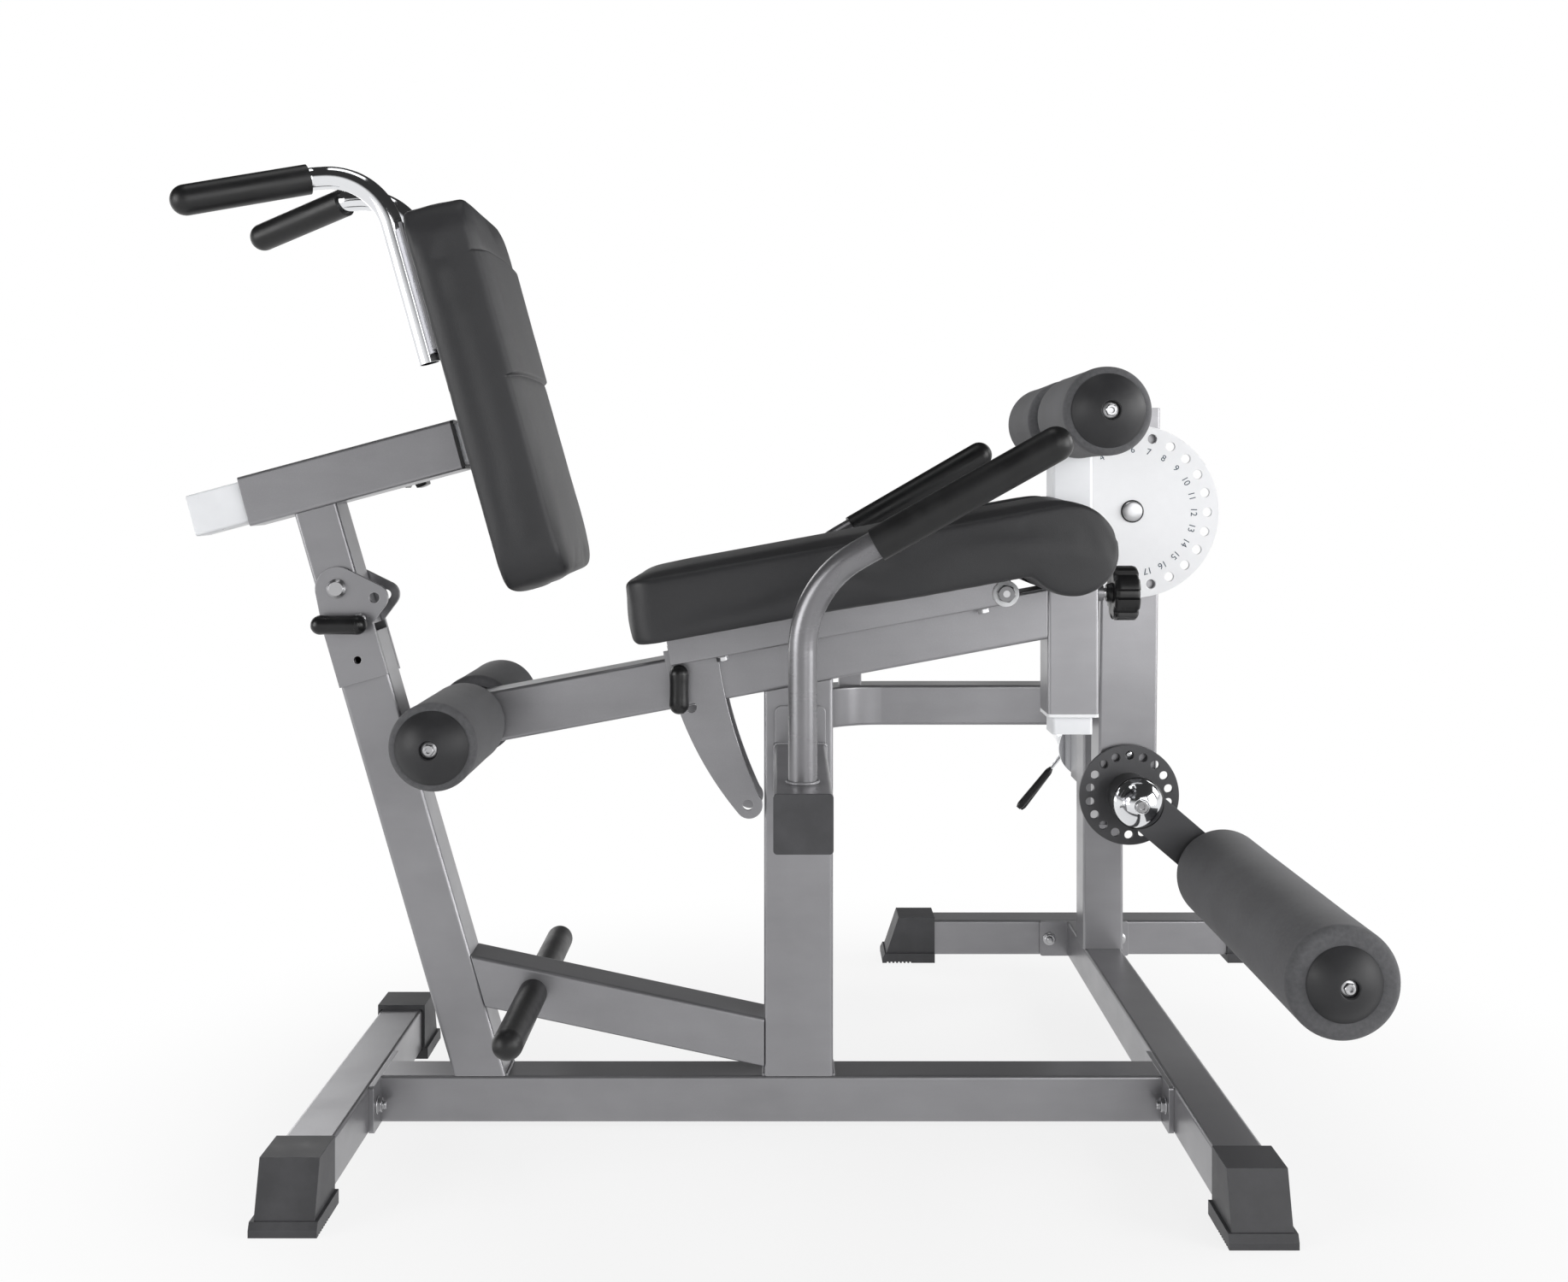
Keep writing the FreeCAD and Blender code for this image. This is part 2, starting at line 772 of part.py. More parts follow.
def make_floor():
    base_start = s.rear_crossbar_x + s.floor_tube * HALF + s.plate_thick
    base_end = s.front_crossbar_x - s.floor_tube * HALF - s.plate_thick
    base = tube("base_tube", base_end - base_start, s.floor_tube, s.floor_tube, s.tube_wall, s.tube_corner)
    node(place(base, base_start, 0, floor_mid, aimed((1, 0, 0), (0, 1, 0))), "base_tube")

    rear = tube("rear_crossbar", s.rear_crossbar_half * 2, s.floor_tube, s.floor_tube,
                s.tube_wall, s.tube_corner)
    place(rear, s.rear_crossbar_x, -s.rear_crossbar_half, floor_mid, aimed((0, 1, 0), (1, 0, 0)))
    node(drilled_crossbar("rear_crossbar", rear, s.rear_crossbar_x), "rear_crossbar")

    far_end = s.outrigger_y - s.floor_tube * HALF - s.plate_thick
    front = tube("front_crossbar", far_end + s.front_crossbar_near, s.floor_tube, s.floor_tube,
                 s.tube_wall, s.tube_corner)
    place(front, s.front_crossbar_x, -s.front_crossbar_near, floor_mid, aimed((0, 1, 0), (1, 0, 0)))
    node(drilled_crossbar("front_crossbar", front, s.front_crossbar_x), "front_crossbar")

    outrigger = tube("outrigger_tube", s.outrigger_half * 2, s.floor_tube, s.floor_tube,
                     s.tube_wall, s.tube_corner)
    place(outrigger, s.outrigger_x - s.outrigger_half, s.outrigger_y, floor_mid,
          aimed((1, 0, 0), (0, 1, 0)))
    near_face = s.outrigger_y - s.floor_tube * HALF
    drills = [drill("outrigger", (s.front_crossbar_x + side * s.outrigger_bolt_offset,
                                  near_face - s.overrun, floor_mid), (0, 1, 0),
                    s.floor_tube + s.overrun * 2, s.bolt_radius + s.bolt_clearance)
              for side in (-1, 1)]
    node(cut_away("outrigger_tube", outrigger, drills), "outrigger_tube")


def drilled_crossbar(label, bar, x):
    start = x - s.floor_tube * HALF - s.overrun
    drills = [drill(label, (start, side * s.base_bolt_offset, floor_mid), (1, 0, 0),
                    s.floor_tube + s.overrun * 2, s.bolt_radius + s.bolt_clearance)
              for side in (-1, 1)]
    return cut_away(label, bar, drills)


def end_plate(label, width, offset):
    body = new_body(label)
    sketch = new_sketch(body)
    draw_rectangle(sketch, width, s.floor_tube, s.tube_corner)
    for side in (-1, 1):
        draw_circle(sketch, side * offset, 0, s.bolt_radius + s.bolt_clearance)
    extrude(body, sketch, s.plate_thick)
    return body


def make_joint_plates():
    rear = end_plate("rear_plate", s.base_plate_width, s.base_bolt_offset)
    place(rear, s.rear_crossbar_x + s.floor_tube * HALF, 0, floor_mid, aimed((1, 0, 0), (0, 1, 0)))
    front = end_plate("front_plate", s.base_plate_width, s.base_bolt_offset)
    place(front, s.front_crossbar_x - s.floor_tube * HALF - s.plate_thick, 0, floor_mid,
          aimed((1, 0, 0), (0, 1, 0)))
    side = end_plate("side_plate", s.outrigger_plate_width, s.outrigger_bolt_offset)
    place(side, s.front_crossbar_x, s.outrigger_y - s.floor_tube * HALF - s.plate_thick, floor_mid,
          aimed((0, 1, 0), (1, 0, 0)))
    handle = block("handle_plate", s.bracket_plate_thick, s.bracket_tube, s.bracket_plate_height,
                   s.tube_corner * 2)
    place(handle, s.handle_x, -s.post_deep * HALF, s.bracket_z, aimed((0, -1, 0), (1, 0, 0)))
    node(group("joint_plates", [rear, front, side, handle]), "joint_plates")


def make_frame_bolts():
    pieces = []
    grip = s.floor_tube + s.plate_thick
    for side in (-1, 1):
        y = side * s.base_bolt_offset
        pieces += bolt_set("rear_bolt", s.rear_crossbar_x - s.floor_tube * HALF, y, floor_mid,
                           (1, 0, 0), grip)
        pieces += bolt_set("front_bolt", s.front_crossbar_x + s.floor_tube * HALF, y, floor_mid,
                           (-1, 0, 0), grip)
        x = s.front_crossbar_x + side * s.outrigger_bolt_offset
        pieces += bolt_set("side_bolt", x, s.outrigger_y + s.floor_tube * HALF, floor_mid,
                           (0, -1, 0), grip)
    node(group("frame_bolts", pieces), "frame_bolts")


def foot(label, x, y, direction):
    # A cap pushed on a floor tube's end, local Y outward from the tube, with a flared toothed sole.
    length = s.foot_grip + s.foot_wall
    height = s.sole_height + s.floor_tube + s.foot_wall
    width = s.floor_tube + s.foot_side_wall * 2
    body = new_body(label)
    side = new_sketch(body, "XZ_Plane")
    draw_outline(side, [(0, 0), (length + s.foot_overhang, 0),
                        (length + s.foot_overhang, s.sole_lip_height * HALF), (length, height), (0, height)])
    shell = extrude(body, side, width, both=True)
    lip = new_sketch(body, "XZ_Plane")
    draw_outline(lip, [(0, 0), (length + s.foot_overhang + s.sole_lip, 0),
                       (length + s.foot_overhang + s.sole_lip, s.sole_lip_height * HALF),
                       (length + s.foot_overhang, s.sole_lip_height), (0, s.sole_lip_height)])
    extrude(body, lip, width + s.sole_lip * 2, both=True)
    socket = new_sketch(body, "YZ_Plane")
    low, high, half = s.sole_height, s.sole_height + s.floor_tube, s.floor_tube * HALF
    draw_outline(socket, [(-half, low), (half, low), (half, high), (-half, high)])
    cut_depth(body, socket, s.foot_grip, back=True)
    grooves = new_sketch(body, "XZ_Plane")
    teeth = 7
    pitch = s.sole_groove * 2
    for tooth in range(teeth):
        start = length + s.foot_overhang - pitch * (tooth + 1)
        draw_outline(grooves, [(start, 0), (start + s.sole_groove, 0),
                               (start + s.sole_groove, s.sole_groove_depth), (start, s.sole_groove_depth)])
    cut_through(body, grooves)
    place(body, x, y, 0, aimed((0, 0, 1), direction))
    return body


def make_feet():
    rear, front = s.rear_crossbar_half - s.foot_grip, s.front_crossbar_near - s.foot_grip
    ends = s.outrigger_half - s.foot_grip
    feet = [foot("foot", s.rear_crossbar_x, -rear, (0, -1, 0)),
            foot("foot", s.rear_crossbar_x, rear, (0, 1, 0)),
            foot("foot", s.front_crossbar_x, -front, (0, -1, 0)),
            foot("foot", s.outrigger_x - ends, s.outrigger_y, (-1, 0, 0)),
            foot("foot", s.outrigger_x + ends, s.outrigger_y, (1, 0, 0))]
    node(group("rubber_feet", feet), "rubber_feet")


def beam_point(x, offset):
    # A point of the seat beam at one X, this far off its centre line.
    run = (x - s.rear_axis_x) / math.cos(math.radians(s.beam_slope))
    return along((s.rear_axis_x, 0, s.rear_axis_z), (beam_dir, run), (beam_normal, offset))


def make_uprights():
    under_beam = beam_point(s.mid_post_x, -s.beam_tube * HALF)
    post = tube("mid_post", under_beam[2] - floor_top + s.beam_tube * HALF, s.mid_post_across,
                s.post_deep, s.tube_wall, s.tube_corner)
    place(post, s.mid_post_x, 0, floor_top)
    node(cut_away("mid_post", post, [half_space("mid_post", under_beam, beam_normal)]), "mid_post")

    base = (s.hinge_z - floor_top) / math.cos(math.radians(s.rear_lean))
    foot_run = s.rear_post_across
    rear = tube("rear_post", base + foot_run - s.rear_post_gap, s.rear_post_across, s.post_deep,
                s.tube_wall, s.tube_corner)
    place(rear, *on_hinge(0, -base - foot_run), aimed(up, forward))
    holes = [drill("rear_post", on_hinge(0, -s.spare_hole_down, -s.post_deep), (0, 1, 0),
                   s.post_deep * 2, s.spare_hole_radius)]
    foot_cut = half_space("rear_post", (s.hinge_x, 0, floor_top), (0, 0, -1))
    node(cut_away("rear_post", rear, [foot_cut] + holes), "rear_post")

    slope = math.radians(s.brace_slope)
    down_front = (math.cos(slope), 0, -math.sin(slope))
    rear_face = (s.mid_post_x - s.mid_post_across * HALF, 0, s.brace_end_z)
    length = (rear_face[0] - s.hinge_x) / math.cos(slope)
    start = along(rear_face, (down_front, s.brace_tube - length))
    brace = tube("diagonal_brace", length, s.brace_tube, s.brace_tube, s.tube_wall, s.tube_corner)
    place(brace, *start, aimed(down_front, (0, 1, 0)))
    post_face = on_hinge(s.rear_post_across * HALF, 0)
    tools = [half_space("diagonal_brace", rear_face, (1, 0, 0)),
             half_space("diagonal_brace", along(post_face, (up, -(s.hinge_z - s.brace_end_z))),
                        tuple(-value for value in forward)),
             cross_drill("diagonal_brace", s.peg_x, peg_z(), s.peg_rod_radius,
                         -s.brace_tube, s.brace_tube)]
    node(cut_away("diagonal_brace", brace, tools), "diagonal_brace")


def peg_z():
    rear_face_x = s.mid_post_x - s.mid_post_across * HALF
    return s.brace_end_z + (rear_face_x - s.peg_x) * math.tan(math.radians(s.brace_slope))


def make_storage_pegs():
    reach = s.brace_tube * HALF + s.peg_length - s.peg_radius
    core = rod("peg_rod", reach * 2, s.peg_rod_radius)
    place(core, s.peg_x, -reach, peg_z(), aimed((0, 1, 0), (1, 0, 0)))
    pieces = [core]
    inside = s.peg_length - s.peg_radius
    corner = s.peg_radius * math.sin(math.pi / 4)
    for side in (-1, 1):
        outline = [(s.peg_rod_radius, 0), (s.peg_radius, 0), (s.peg_radius, inside),
                   (0, s.peg_length, corner, inside + corner), (0, inside), (s.peg_rod_radius, inside)]
        pieces.append(turned_along_y("peg_sleeve", outline, s.peg_x, side * s.brace_tube * HALF,
                                     peg_z(), side))
    node(group("storage_pegs", pieces), "storage_pegs")


def make_seat_beam():
    start = along((s.rear_axis_x, 0, s.rear_axis_z), (beam_dir, -s.beam_tail))
    sleeve_rear = s.sleeve_x - s.sleeve_tube * HALF
    length = (sleeve_rear - start[0]) / math.cos(math.radians(s.beam_slope)) + s.beam_tube * HALF
    beam = tube("seat_beam", length, s.beam_tube, s.beam_tube, s.tube_wall, s.tube_corner)
    place(beam, *start, aimed(beam_dir, (0, 1, 0)))
    lock = lock_place(0)
    tools = [half_space("seat_beam", (sleeve_rear, 0, s.rear_axis_z), (1, 0, 0)),
             cross_drill("seat_beam", s.rear_axis_x, s.rear_axis_z, s.roller_shaft_radius,
                         -s.beam_tube, s.beam_tube),
             cross_drill("seat_beam", lock[0], lock[1], s.pin_radius + s.pin_clearance,
                         -s.beam_tube, s.beam_tube),
             cross_drill("seat_beam", s.seat_pivot_x, s.seat_pivot_z, s.pivot_bolt_radius,
                         -s.beam_tube, s.beam_tube)]
    node(cut_away("seat_beam", beam, tools), "seat_beam")


def roller_shaft(label, x, z, near, far):
    # A shaft along Y with a cap bolt in each end.
    core = rod(label + "_core", far - near, s.roller_shaft_radius)
    place(core, x, near, z, aimed((0, 1, 0), (1, 0, 0)))
    pieces = [core]
    for y, side in ((near, -1), (far, 1)):
        head = block(label + "_bolt", s.cap_recess, s.roller_bolt_radius * 2,
                     s.roller_bolt_radius * 2, s.roller_bolt_radius * HALF)
        socket = new_sketch(head, "XY_Plane", s.cap_recess)
        draw_circle(socket, 0, 0, s.roller_bolt_radius * HALF)
        cut_depth(head, socket, s.cap_recess * HALF)
        pieces.append(place(head, x, y, z, aimed((0, side, 0), (1, 0, 0))))
    return pieces


def roller(label, x, z, start, length, radius, cap_radius, side, far_dome):
    # Foam on a plastic core with a domed cap outside and a flat or domed cap inside.
    bore = s.roller_shaft_radius + s.running_gap
    core_radius = bore + s.core_wall
    edge = s.roller_edge
    bulge = edge * (1 - math.sin(math.pi / 4))
    foam = turned_along_y(label + "_foam", [
        (core_radius, 0), (radius - edge, 0), (radius, edge, radius - bulge, bulge),
        (radius, length - edge), (radius - edge, length, radius - bulge, length - bulge),
        (core_radius, length)], x, start, z, side)
    core = turned_along_y(label + "_core", [(bore, 0), (core_radius, 0), (core_radius, length),
                                            (bore, length)], x, start, z, side)
    outer = turned_along_y(label + "_cap", dome_profile(cap_radius), x, start + side * length, z, side)
    if far_dome:
        inner = turned_along_y(label + "_back", [(bore, 0), (cap_radius, 0), (cap_radius, s.cap_back),
                                                 (bore, s.cap_back)], x, start, z, -side)
    else:
        inner = turned_along_y(label + "_back", [(bore, 0), (cap_radius, 0), (cap_radius, s.cap_back),
                                                 (bore, s.cap_back)], x, start, z, -side)
    return node(group(label, [foam, core, outer, inner]), label)


def dome_profile(radius):
    # A shallow dome with a deep round recess for the bolt.
    recess = s.roller_bolt_radius + s.core_wall * HALF
    rise = s.cap_dome
    sphere = (radius * radius + rise * rise) / (rise * 2)
    middle = radius * 0.75
    middle_height = math.sqrt(sphere * sphere - middle * middle) - (sphere - rise)
    top = math.sqrt(sphere * sphere - recess * recess) - (sphere - rise)
    hub = s.roller_shaft_radius + s.running_gap
    return [(hub, 0), (radius, 0), (radius, s.cap_back * HALF),
            (recess, top, middle, middle_height), (recess, s.cap_recess * 1.2), (hub, s.cap_recess * 1.2)]


def make_rear_rollers():
    reach = s.roller_start + s.roller_length
    pieces = roller_shaft("rear_roller_shaft", s.rear_axis_x, s.rear_axis_z, -reach, reach)
    node(group("rear_roller_shaft", pieces), "rear_roller_shaft")
    for label, side in (("right_rear_roller", -1), ("left_rear_roller", 1)):
        roller(label, s.rear_axis_x, s.rear_axis_z, side * s.roller_start, s.roller_length,
               s.roller_radius, s.cap_radius, side, True)


def make_front_sleeve():
    length = s.sleeve_high - s.sleeve_low
    sleeve = tube("front_sleeve", length, s.sleeve_tube, s.sleeve_tube, s.tube_wall, s.tube_corner)
    place(sleeve, s.sleeve_x, 0, s.sleeve_low)
    hole = drill("front_sleeve", (s.sleeve_x, 0, s.knob_z), (1, 0, 0), s.sleeve_tube,
                 s.knob_pin_radius + s.bolt_clearance)
    collar = knob_collar("front_collar", s.sleeve_x + s.sleeve_tube * HALF, 0, s.knob_z, (1, 0, 0))
    node(group("front_sleeve", [cut_away("front_sleeve_tube", sleeve, [hole]), collar]), "front_sleeve")
    liner = liner_body("front_sleeve_liner", length, s.sleeve_tube, s.thigh_tube)
    place(liner, s.sleeve_x, 0, s.sleeve_low - s.liner_lip)
    hole = drill("front_sleeve_liner", (s.sleeve_x, 0, s.knob_z), (1, 0, 0), s.sleeve_tube,
                 s.knob_pin_radius + s.bolt_clearance)
    node(cut_away("front_sleeve_liner", liner, [hole]), "front_sleeve_liner")


def liner_body(label, length, outside, inside):
    # A plastic liner with a lip under the sleeve's lower end.
    gap = s.slide_gap * 2
    body = new_body(label)
    lip = new_sketch(body)
    draw_rectangle(lip, outside, outside, s.tube_corner)
    draw_rectangle(lip, inside + gap, inside + gap, s.tube_corner * HALF)
    extrude(body, lip, s.liner_lip)
    wall = new_sketch(body, "XY_Plane", s.liner_lip)
    draw_rectangle(wall, outside - s.tube_wall * 2, outside - s.tube_wall * 2, s.tube_corner * HALF)
    draw_rectangle(wall, inside + gap, inside + gap, s.tube_corner * HALF)
    extrude(body, wall, length)
    return body


def make_thigh_post():
    length = s.thigh_axis_z + s.thigh_above - s.thigh_low
    post = tube("thigh_post", length, s.thigh_tube, s.thigh_tube, s.tube_wall, s.tube_corner)
    place(post, s.sleeve_x, 0, s.thigh_low)
    tools = [cross_drill("thigh_post", s.thigh_axis_x, s.thigh_axis_z, s.roller_shaft_radius,
                         -s.thigh_tube, s.thigh_tube)]
    step = s.thigh_tube * HALF
    low = s.knob_z - step * 5
    while low < s.thigh_axis_z - s.thigh_tube:
        tools.append(drill("thigh_post", (s.sleeve_x, 0, low), (1, 0, 0), s.thigh_tube,
                           s.knob_pin_radius + s.pin_clearance))
        low = low + step
    drilled = cut_away("thigh_post_tube", post, tools)
    top = block("thigh_post_cap", s.cap_thick, s.thigh_tube, s.thigh_tube, s.tube_corner)
    place(top, s.sleeve_x, 0, s.thigh_axis_z + s.thigh_above)
    node(group("thigh_post", [drilled, top]), "thigh_post")
    reach = s.roller_start + s.roller_length
    pieces = roller_shaft("thigh_roller_shaft", s.thigh_axis_x, s.thigh_axis_z, -reach, reach)
    node(group("thigh_roller_shaft", pieces), "thigh_roller_shaft")
    for label, side in (("right_thigh_roller", -1), ("left_thigh_roller", 1)):
        roller(label, s.thigh_axis_x, s.thigh_axis_z, side * s.roller_start, s.roller_length,
               s.roller_radius, s.cap_radius, side, True)


def knob(label, gap, wall):
    # A fluted knob on a pull pin, local Z outward from the tube's face, pin tip at the liner's bore.
    head = new_body(label + "_head")
    base = new_sketch(head, "XY_Plane", s.knob_standoff)
    draw_circle(base, 0, 0, s.knob_radius)
    extrude(head, base, s.knob_height)
    flutes = new_sketch(head, "XY_Plane", s.knob_standoff)
    count = 8
    for turn in range(count):
        angle = math.tau * turn / count
        reach = s.knob_radius + s.flute_radius * HALF
        draw_circle(flutes, reach * math.cos(angle), reach * math.sin(angle), s.flute_radius)
    cut_depth(head, flutes, s.knob_height, back=True)
    bore = new_sketch(head, "XY_Plane", s.knob_standoff)
    draw_circle(bore, 0, 0, s.knob_pin_radius)
    cut_depth(head, bore, s.knob_height * HALF, back=True)
    pin = new_body(label + "_pin")
    shank = new_sketch(pin, "XY_Plane", -wall + gap)
    draw_circle(shank, 0, 0, s.knob_pin_radius)
    extrude(pin, shank, s.knob_standoff + s.knob_height * HALF + wall - gap)
    return [head, pin]


def knob_collar(label, x, y, z, out):
    # The threaded collar on a sleeve that guides its knob's pin.
    collar = rod(label, s.knob_standoff * HALF, s.knob_collar_radius, s.knob_pin_radius + s.running_gap)
    return place(collar, x, y, z, aimed(out, (out[1], out[0], 0)))


def make_thigh_knob():
    wall = (s.sleeve_tube - s.thigh_tube) * HALF
    pieces = knob("thigh_knob", s.slide_gap, wall)
    for piece in pieces:
        place(piece, s.sleeve_x + s.sleeve_tube * HALF, 0, s.knob_z, aimed((1, 0, 0), (0, 1, 0)))
    node(group("thigh_knob", pieces), "thigh_knob")


def make_handle_bracket():
    start = s.post_deep * HALF + s.bracket_plate_thick
    bracket = tube("handle_bracket", s.bracket_end - start, s.bracket_tube, s.bracket_tube,
                   s.tube_wall, s.tube_corner)
    place(bracket, s.handle_x, -start, s.bracket_z, aimed((0, -1, 0), (1, 0, 0)))
    node(bracket, "handle_bracket")


def handle_points(side):
    rise, splay = math.radians(s.handle_rise), math.radians(s.handle_splay)
    out = (math.cos(rise) * math.cos(splay), side * math.cos(rise) * math.sin(splay), math.sin(rise))
    under = s.bracket_z if side < 0 else s.brace_z
    base = (s.handle_x, side * s.handle_y, under + s.bracket_tube * HALF)
    corner = (s.handle_x, side * s.handle_y, s.handle_corner_z)
    return base, corner, along(corner, (out, s.handle_reach)), out


def make_side_handles():
    tubes, grips = [], []
    for label, side in (("right", -1), ("left", 1)):
        base, corner, tip, out = handle_points(side)
        tubes.append(bent_tube(label + "_side_handle", (base, corner, tip), [s.handle_bend],
                               s.handle_radius, s.handle_wall))
        ring = turned(label + "_weld", [(s.handle_radius, 0), (s.handle_radius + s.weld_ring, 0),
                                        (s.handle_radius, s.weld_ring)])
        tubes.append(place(ring, *base))
        grips.append(grip_sleeve(label + "_side_grip", along(corner, (out, s.grip_start)), out,
                                 s.handle_reach - s.grip_start, s.handle_radius, s.side_grip_radius))
    node(group("side_handles", tubes), "side_handles")
    node(group("side_handle_grips", grips), "side_handle_grips")


def grip_sleeve(label, start, out, inside, bore, radius):
    # A grip with a closed round end over a tube.
    corner = radius * math.sin(math.pi / 4)
    body = turned(label, [(bore, 0), (radius, 0), (radius, inside),
                          (0, inside + radius, corner, inside + corner), (0, inside), (bore, inside)])
    return place(body, *start, aimed(out, (0, 1, 0)))


def make_curved_brace():
    # A square tube that leaves the mid post sideways and bends forward to the column.
    rear_x, front_x = s.mid_post_x, s.pivot_x - s.column_tube * HALF
    start = Vector(rear_x, s.post_deep * HALF, s.brace_z)
    enter = Vector(rear_x, s.column_y - s.brace_bend, s.brace_z)
    centre = Vector(rear_x + s.brace_bend, s.column_y - s.brace_bend, s.brace_z)
    chord = s.brace_bend * math.cos(math.pi / 4)
    middle = centre + Vector(-chord, chord, 0)
    leave = Vector(rear_x + s.brace_bend, s.column_y, s.brace_z)
    end = Vector(front_x, s.column_y, s.brace_z)
    path = Part.Wire([Part.LineSegment(start, enter).toShape(), Part.Arc(enter, middle, leave).toShape(),
                      Part.LineSegment(leave, end).toShape()])
    shapes = []
    for inset, corner in ((0, s.tube_corner), (s.tube_wall, s.tube_corner * HALF)):
        half = s.bracket_tube * HALF - inset
        section = rounded_wire(half, half, corner)
        section.Placement = Placement(start, aimed((0, 1, 0), (1, 0, 0)))
        shapes.append(path.makePipeShell([section], True, False))
    feature = doc.addObject("Part::Feature", "curved_brace_tube")
    feature.Shape = shapes[0].cut(shapes[1])
    stub = tube("brace_stub", s.stub_height, s.stub_tube, s.stub_tube, s.tube_wall, s.tube_corner * HALF)
    place(stub, s.stub_x, s.stub_y + s.stub_tube * HALF, s.brace_z + s.bracket_tube * HALF)
    node(group("curved_brace", [feature, stub]), "curved_brace")


def rounded_wire(half_x, half_y, corner):
    # A closed rounded rectangle in the local XY plane.
    points = [(half_x - corner, -half_y), (half_x, -half_y + corner), (half_x, half_y - corner),
              (half_x - corner, half_y), (-half_x + corner, half_y), (-half_x, half_y - corner),
              (-half_x, -half_y + corner), (-half_x + corner, -half_y)]
    inset = corner * (1 - math.sin(math.pi / 4))
    middles = [(half_x - inset, -half_y + inset), (half_x - inset, half_y - inset),
               (-half_x + inset, half_y - inset), (-half_x + inset, -half_y + inset)]
    edges = []
    for turn in range(4):
        a, b, c = points[turn * 2], points[turn * 2 + 1], points[(turn * 2 + 2) % 8]
        edges.append(Part.Arc(Vector(*a, 0), Vector(*middles[turn], 0), Vector(*b, 0)).toShape())
        edges.append(Part.LineSegment(Vector(*b, 0), Vector(*c, 0)).toShape())
    return Part.Wire(edges)


def make_column():
    column = tube("column", s.column_top - floor_top, s.column_tube, s.column_tube, s.tube_wall,
                  s.tube_corner)
    place(column, s.pivot_x, s.column_y, floor_top)
    hole = cross_drill("column", s.pivot_x, s.pivot_z, s.housing_radius,
                       s.column_y - s.column_tube, s.column_y + s.column_tube)
    node(cut_away("column", column, [hole]), "column")
    length = s.housing_far - s.housing_near
    shell = rod("housing_shell", length, s.housing_radius, s.housing_radius - s.housing_wall)
    place(shell, s.pivot_x, s.housing_near, s.pivot_z, aimed((0, 1, 0), (1, 0, 0)))
    pieces = [shell]
    for y in (s.housing_near, s.housing_far - s.bush_length):
        bush = rod("housing_bush", s.bush_length, s.housing_radius - s.housing_wall,
                   s.main_shaft_radius + s.running_gap)
        pieces.append(place(bush, s.pivot_x, y, s.pivot_z, aimed((0, 1, 0), (1, 0, 0))))
    node(group("bearing_housing", pieces), "bearing_housing")


def make_end_caps():
    pieces = []

    def cap(label, side, x, y, z, direction, across):
        body = block(label, s.cap_thick, side, side, s.tube_corner)
        pieces.append(place(body, x, y, z, aimed(direction, across)))

    tail = along((s.rear_axis_x, 0, s.rear_axis_z), (beam_dir, -s.beam_tail))
    cap("beam_cap", s.beam_tube, *tail, tuple(-value for value in beam_dir), (0, 1, 0))
    cap("bracket_cap", s.bracket_tube, s.handle_x, -s.bracket_end, s.bracket_z, (0, -1, 0), (1, 0, 0))
    cap("column_cap", s.column_tube, s.pivot_x, s.column_y, s.column_top, (0, 0, 1), (1, 0, 0))
    stub_top = s.brace_z + s.bracket_tube * HALF + s.stub_height
    cap("stub_cap", s.stub_tube, s.stub_x, s.stub_y + s.stub_tube * HALF, stub_top, (0, 0, 1), (1, 0, 0))
    node(group("tube_end_caps", pieces), "tube_end_caps")


def hinge_outline():
    # The plate in its own frame: forward of the post's axis, and up from the bolt.
    half, head, ear = s.rear_post_across * HALF, s.hinge_head, s.ear_radius
    centre = (s.ear_forward, -s.ear_down)
    reach = math.hypot(*centre)
    tilt = math.atan2(s.ear_down, s.ear_forward) + math.asin((head - ear) / reach)
    upper = (math.sin(tilt), math.cos(tilt))
    top = tilt * HALF - math.pi / 4
    root = (half, -s.ear_root)
    gap = (root[0] - centre[0], root[1] - centre[1])
    away = math.hypot(*gap)
    bearing = math.atan2(gap[1], gap[0]) + math.acos(ear / away)
    lower = (math.cos(bearing), math.sin(bearing))
    nose = math.atan2(upper[1], upper[0]) * HALF + bearing * HALF
    return [(-half, -s.hinge_plate_low), (half, -s.hinge_plate_low), root,
            (centre[0] + ear * lower[0], centre[1] + ear * lower[1]),
            (centre[0] + ear * upper[0], centre[1] + ear * upper[1],
             centre[0] + ear * math.cos(nose), centre[1] + ear * math.sin(nose)),
            (head * upper[0], head * upper[1]),
            (-head, 0, head * math.sin(top), head * math.cos(top)),
            (-half, -s.hinge_shoulder)]


